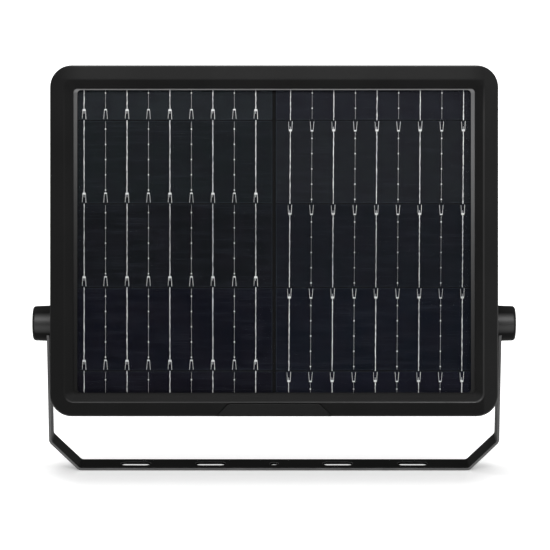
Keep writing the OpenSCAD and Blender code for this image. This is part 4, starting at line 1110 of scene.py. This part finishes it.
def buildBracket(s):
    bm = bmesh.new()
    half, bend = s["halfWidth"], s["bend"]
    path = [(-half, s["armTop"]), (-half, bend), (-half + bend, 0), (half - bend, 0), (half, bend),
            (half, s["armTop"])]
    verts = [bmesh.ops.create_vert(bm, co=(x, -s["width"] / 2, z))["vert"][0] for x, z in path]
    edges = [bm.edges.new(pair) for pair in zip(verts, verts[1:])]
    grown = bmesh.ops.extrude_edge_only(bm, edges=edges)
    shift(bm, (0, s["width"], 0), vertsOf(grown))
    bends = [e for e in bm.edges if len(e.link_faces) == 2]
    bmesh.ops.bevel(bm, geom=bends, offset=s["bendRound"], affect="EDGES", segments=6, profile=0.5,
                    material=-1, offset_type="OFFSET")
    tops = [v for v in bm.verts if v.co.z > s["armTop"] - 0.01]
    cutCorners(bm, tops, s["width"] / 2 - 0.02, 14)
    bmesh.ops.recalc_face_normals(bm, faces=bm.faces)
    base = max(bm.faces, key=lambda f: f.calc_area() if abs(f.calc_center_median().z) < 0.01 else 0)
    if base.normal.z < 0:
        bmesh.ops.reverse_faces(bm, faces=bm.faces)
    bmesh.ops.solidify(bm, geom=bm.faces[:], thickness=-s["thickness"])
    cutter = bmesh.new()
    for x in s["slotX"]:
        for side in (-1, 1):
            addSlot(cutter, side * x, s["slotLength"], s["slotWidth"], -2, s["thickness"] + 2)
    addSlot(cutter, 0, s["centreHole"], s["centreHole"], -2, s["thickness"] + 2)
    for side in (-1, 1):
        ends = sorted((side * (half - 5), side * (half + 3)))
        addRod(cutter, s["boltHole"] / 2, *ends, z=pivotHeight, axis="X", segments=40)
    bm = combine(bm, cutter, "DIFFERENCE")
    # The cut faces along the strip's sides take the pale finish, a painted highlight
    for face in bm.faces:
        if abs(face.normal.y) > 0.7 and abs(abs(face.calc_center_median().y) - s["width"] / 2) < 0.2:
            face.material_index = 1
    # The rounded edges take the pale finish too, a painted highlight line
    addPiece("mountingBracket", bm, "mounting_bracket", "bracket_paint", ("bracket_paint", "bracket_lit_edge"),
             "bracket", standPlace, sharp=40, edge=s["edge"], edgeSteps=3, edgeMaterial=1)


def addSlot(bm, x, length, width, z0, z1):
    before = set(bm.faces)
    verts = bmesh.ops.create_grid(bm, x_segments=1, y_segments=1, size=0.5)["verts"]
    bmesh.ops.scale(bm, vec=(length, width, 1), verts=verts)
    shift(bm, (x, 0, z0), verts)
    cutCorners(bm, verts, width / 2 - 0.005, 10)
    face = next(f for f in bm.faces if f not in before)
    grown = bmesh.ops.extrude_face_region(bm, geom=[face])
    shift(bm, (0, 0, z1 - z0), vertsOf(grown))


buildBracket(bracketSettings)
print("bracket built")


# Pivot caps
capSettings = {"innerX": 180.3, "outerX": 196.2, "radius": 14.6, "endRadius": 14.1, "round": 2.5,
               "innerRadius": 12.7, "armOut": 184.5, "wallEnd": 1.7, "rim": 0.4, "dishRadius": 8.6,
               "dishDepth": 0.5, "notchHalf": 12.7, "notchOut": 184.8}


def buildPivotCap(s, side, name, body, node):
    bm = bmesh.new()
    outer, r = s["outerX"], s["round"]
    arcX, arcR = outer - r, s["endRadius"] - r
    profile = [(0, outer - s["dishDepth"]), (s["dishRadius"] - 1.2, outer - s["dishDepth"]),
               (s["dishRadius"] - 0.4, outer - s["dishDepth"] * 0.75), (s["dishRadius"], outer - 0.1),
               (s["dishRadius"] + 0.5, outer)]
    profile += [(arcR + r * math.sin(math.pi / 2 * i / 8), arcX + r * math.cos(math.pi / 2 * i / 8))
                for i in range(9)]
    profile += [(s["radius"] - 0.03, s["innerX"] + s["rim"]), (s["radius"] - s["rim"], s["innerX"]),
                (s["innerRadius"], s["innerX"]), (s["innerRadius"], s["armOut"]), (arcR, s["armOut"]),
                (arcR, outer - s["wallEnd"] - 0.5), (0, outer - s["wallEnd"] - 0.5)]
    addSpin(bm, profile, "X", 64)
    cutter = bmesh.new()
    addBlock(cutter, (s["innerX"] - 1, -s["notchHalf"], -s["radius"] - 1),
             (s["notchOut"], s["notchHalf"], 0))
    bm = combine(bm, cutter, "DIFFERENCE")
    if side < 0:
        bmesh.ops.scale(bm, vec=(-1, 1, 1), verts=bm.verts)
        bmesh.ops.reverse_faces(bm, faces=bm.faces)
    shift(bm, (0, 0, pivotHeight))
    addPiece(name, bm, node, "cap_plastic", body=body, place=standPlace)


buildPivotCap(capSettings, -1, "leftPivotCap", "left_cap", "left_pivot_cap")
buildPivotCap(capSettings, 1, "rightPivotCap", "right_cap", "right_pivot_cap")
print("pivot caps built")


# CAD nodes that keep their shape
keptNodes = {
    "gasket": ["panel_gasket"],
    "cell_silicon": ["left_cell_string", "right_cell_string"],
    "backsheet": ["panel_backsheet"],
    "box_plastic": ["panel_junction_box"],
    "seal_rubber": ["housing_seal", "light_cover_seal"],
    "tray_plastic": ["reflector_tray"],
    "board_aluminium": ["led_board"],
    "screw_steel": ["tray_screws", "board_screws"],
    "cell_can": ["battery_cell_1", "battery_cell_2", "battery_cell_3", "battery_cell_4"],
    "cradle_plastic": ["battery_cradle"],
    "tab_nickel": ["battery_tabs"],
    "board_laminate": ["controller_board", "sensor_board"],
    "part_plastic": ["controller_parts"],
    "lead_red": ["panel_leads", "battery_leads"],
    "lead_white": ["led_leads"],
    "lead_yellow": ["sensor_leads"],
    "sensor_can": ["pir_element"],
    "plunger_plastic": ["switch_plunger"],
    "switch_plastic": ["push_switch"],
    "insert_brass": ["left_pivot_insert", "right_pivot_insert"],
    "friction_rubber": ["left_friction_washer", "right_friction_washer"],
    "bolt_steel": ["left_flat_washer", "right_flat_washer", "left_spring_washer", "right_spring_washer",
                   "left_pivot_bolt", "right_pivot_bolt"],
}


def paintNodes(table):
    for finish, names in table.items():
        for name in names:
            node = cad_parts[name]
            node.data.materials.clear()
            node.data.materials.append(finishes[finish])


paintNodes(keptNodes)
print("CAD nodes painted")


# Floor, world and lamps
floorSettings = {"size": 20, "colour": 0.8, "glossShare": 0.3, "nearGlow": 0.36, "backGlow": 0.34,
                 "sideGlow": 0.22, "farGlow": 0.8, "lampReach": 0.4, "lampEnd": 2.2, "sheen": 0.8,
                 "sheenNear": 0.02, "sheenFar": 0.055, "openStart": 1.2, "openEnd": 2.8, "openColour": 0.1}


def buildFloor(s):
    bm = bmesh.new()
    bmesh.ops.create_grid(bm, x_segments=1, y_segments=1, size=s["size"])
    shift(bm, (0, 0, -0.00005))
    floor = holdMesh(bm, "floor")
    material, tree, shader = newMaterial("studioFloor")
    coords = objectCoords(tree)
    x, y, z = splitVector(coords)
    distance = vectorNode(coords, "LENGTH")["Value"]
    # Seen directly or in gloss, the floor lifts to white but keeps shadows. In
    # gloss it also runs out into the dim open studio.
    ray = newWires(tree, "LightPath")
    glossy = ray["Is Glossy Ray"]
    seen = ray["Is Camera Ray"].larger(ray["Is Transmission Ray"].larger(glossy * s["glossShare"]))
    opened = glossy * distance.span(s["openStart"], s["openEnd"], smooth=True)
    behind = y.span(-0.012, 0.012, 0.0, s["backGlow"], smooth=True)
    beside = x.calc("ABSOLUTE").span(0.15, 0.2, 0.0, s["sideGlow"], smooth=True)
    lift = distance.span(s["lampReach"], s["lampEnd"], s["nearGlow"], s["farGlow"], smooth=True)
    lift = (lift + behind.larger(beside)) * (1.0 - opened)
    # A faint polish close round the base
    polish = y.calc("ABSOLUTE").span(s["sheenNear"], s["sheenFar"], s["sheen"], 0.0, smooth=True)
    setInputs(tree, shader, {
        "Base Color": opened.mix(colour4(s["colour"]), colour4(s["openColour"])), "Roughness": 0.9,
        "Specular IOR Level": 0, "Emission Color": (1, 1, 1, 1), "Emission Strength": seen * lift,
        "Coat Weight": polish, "Coat Roughness": 0.08})
    floor.data.materials.append(material)


def buildWorld():
    # Ambient light is paler overhead. In gloss the studio is white overhead and at
    # the sides, and dim where it stands open in front and behind.
    world = bpy.data.worlds.new("studio")
    bpy.context.scene.world = world
    world.use_nodes = True
    tree = world.node_tree
    ray = newWires(tree, "LightPath")
    x, y, z = splitVector(newWires(tree, "TexCoord")["Generated"])
    ambient = z.span(-0.2, 1.0, 0.28, 0.55)
    ends = y.calc("ABSOLUTE").span(0.4, 0.9, 1.0, 0.1, smooth=True)
    plain = ray["Is Glossy Ray"].larger(ray["Is Transmission Ray"]).mix(ambient, ends)
    setInputs(tree, tree.nodes["Background"],
              {"Color": ray["Is Camera Ray"].mix(plain, (1, 1, 1, 1)), "Strength": 1})


lampTable = {
    "leftKey": {"at": (-0.32, -0.98, 1.04), "size": (0.4, 0.55), "watts": 3.9},
    "rightKey": {"at": (0.32, -0.98, 1.04), "size": (0.4, 0.55), "watts": 4.4},
    "sideLamp": {"at": (1.7, -0.5, 0.6), "size": (0.8, 1.2), "watts": 3.5, "shows": False},
    "topLamp": {"at": (0.0, 0.1, 1.7), "size": (1.4, 0.8), "watts": 8, "shows": False},
    "backLamp": {"at": (-0.6, 1.5, 1.8), "size": (1.2, 1.0), "watts": 10, "shows": False},
}


def addLamps(table):
    for name, s in table.items():
        data = bpy.data.lights.new(name, "AREA")
        data.shape = "RECTANGLE"
        data.size, data.size_y = s["size"]
        data.energy = s["watts"]
        lamp = addObject(name, data)
        lamp.location = s["at"]
        lamp.visible_glossy = s.get("shows", True)
        aim = Vector((0, 0, 0.18)) - lamp.location
        lamp.rotation_euler = aim.to_track_quat("-Z", "Y").to_euler()


buildFloor(floorSettings)
buildWorld()
addLamps(lampTable)
print("studio built")
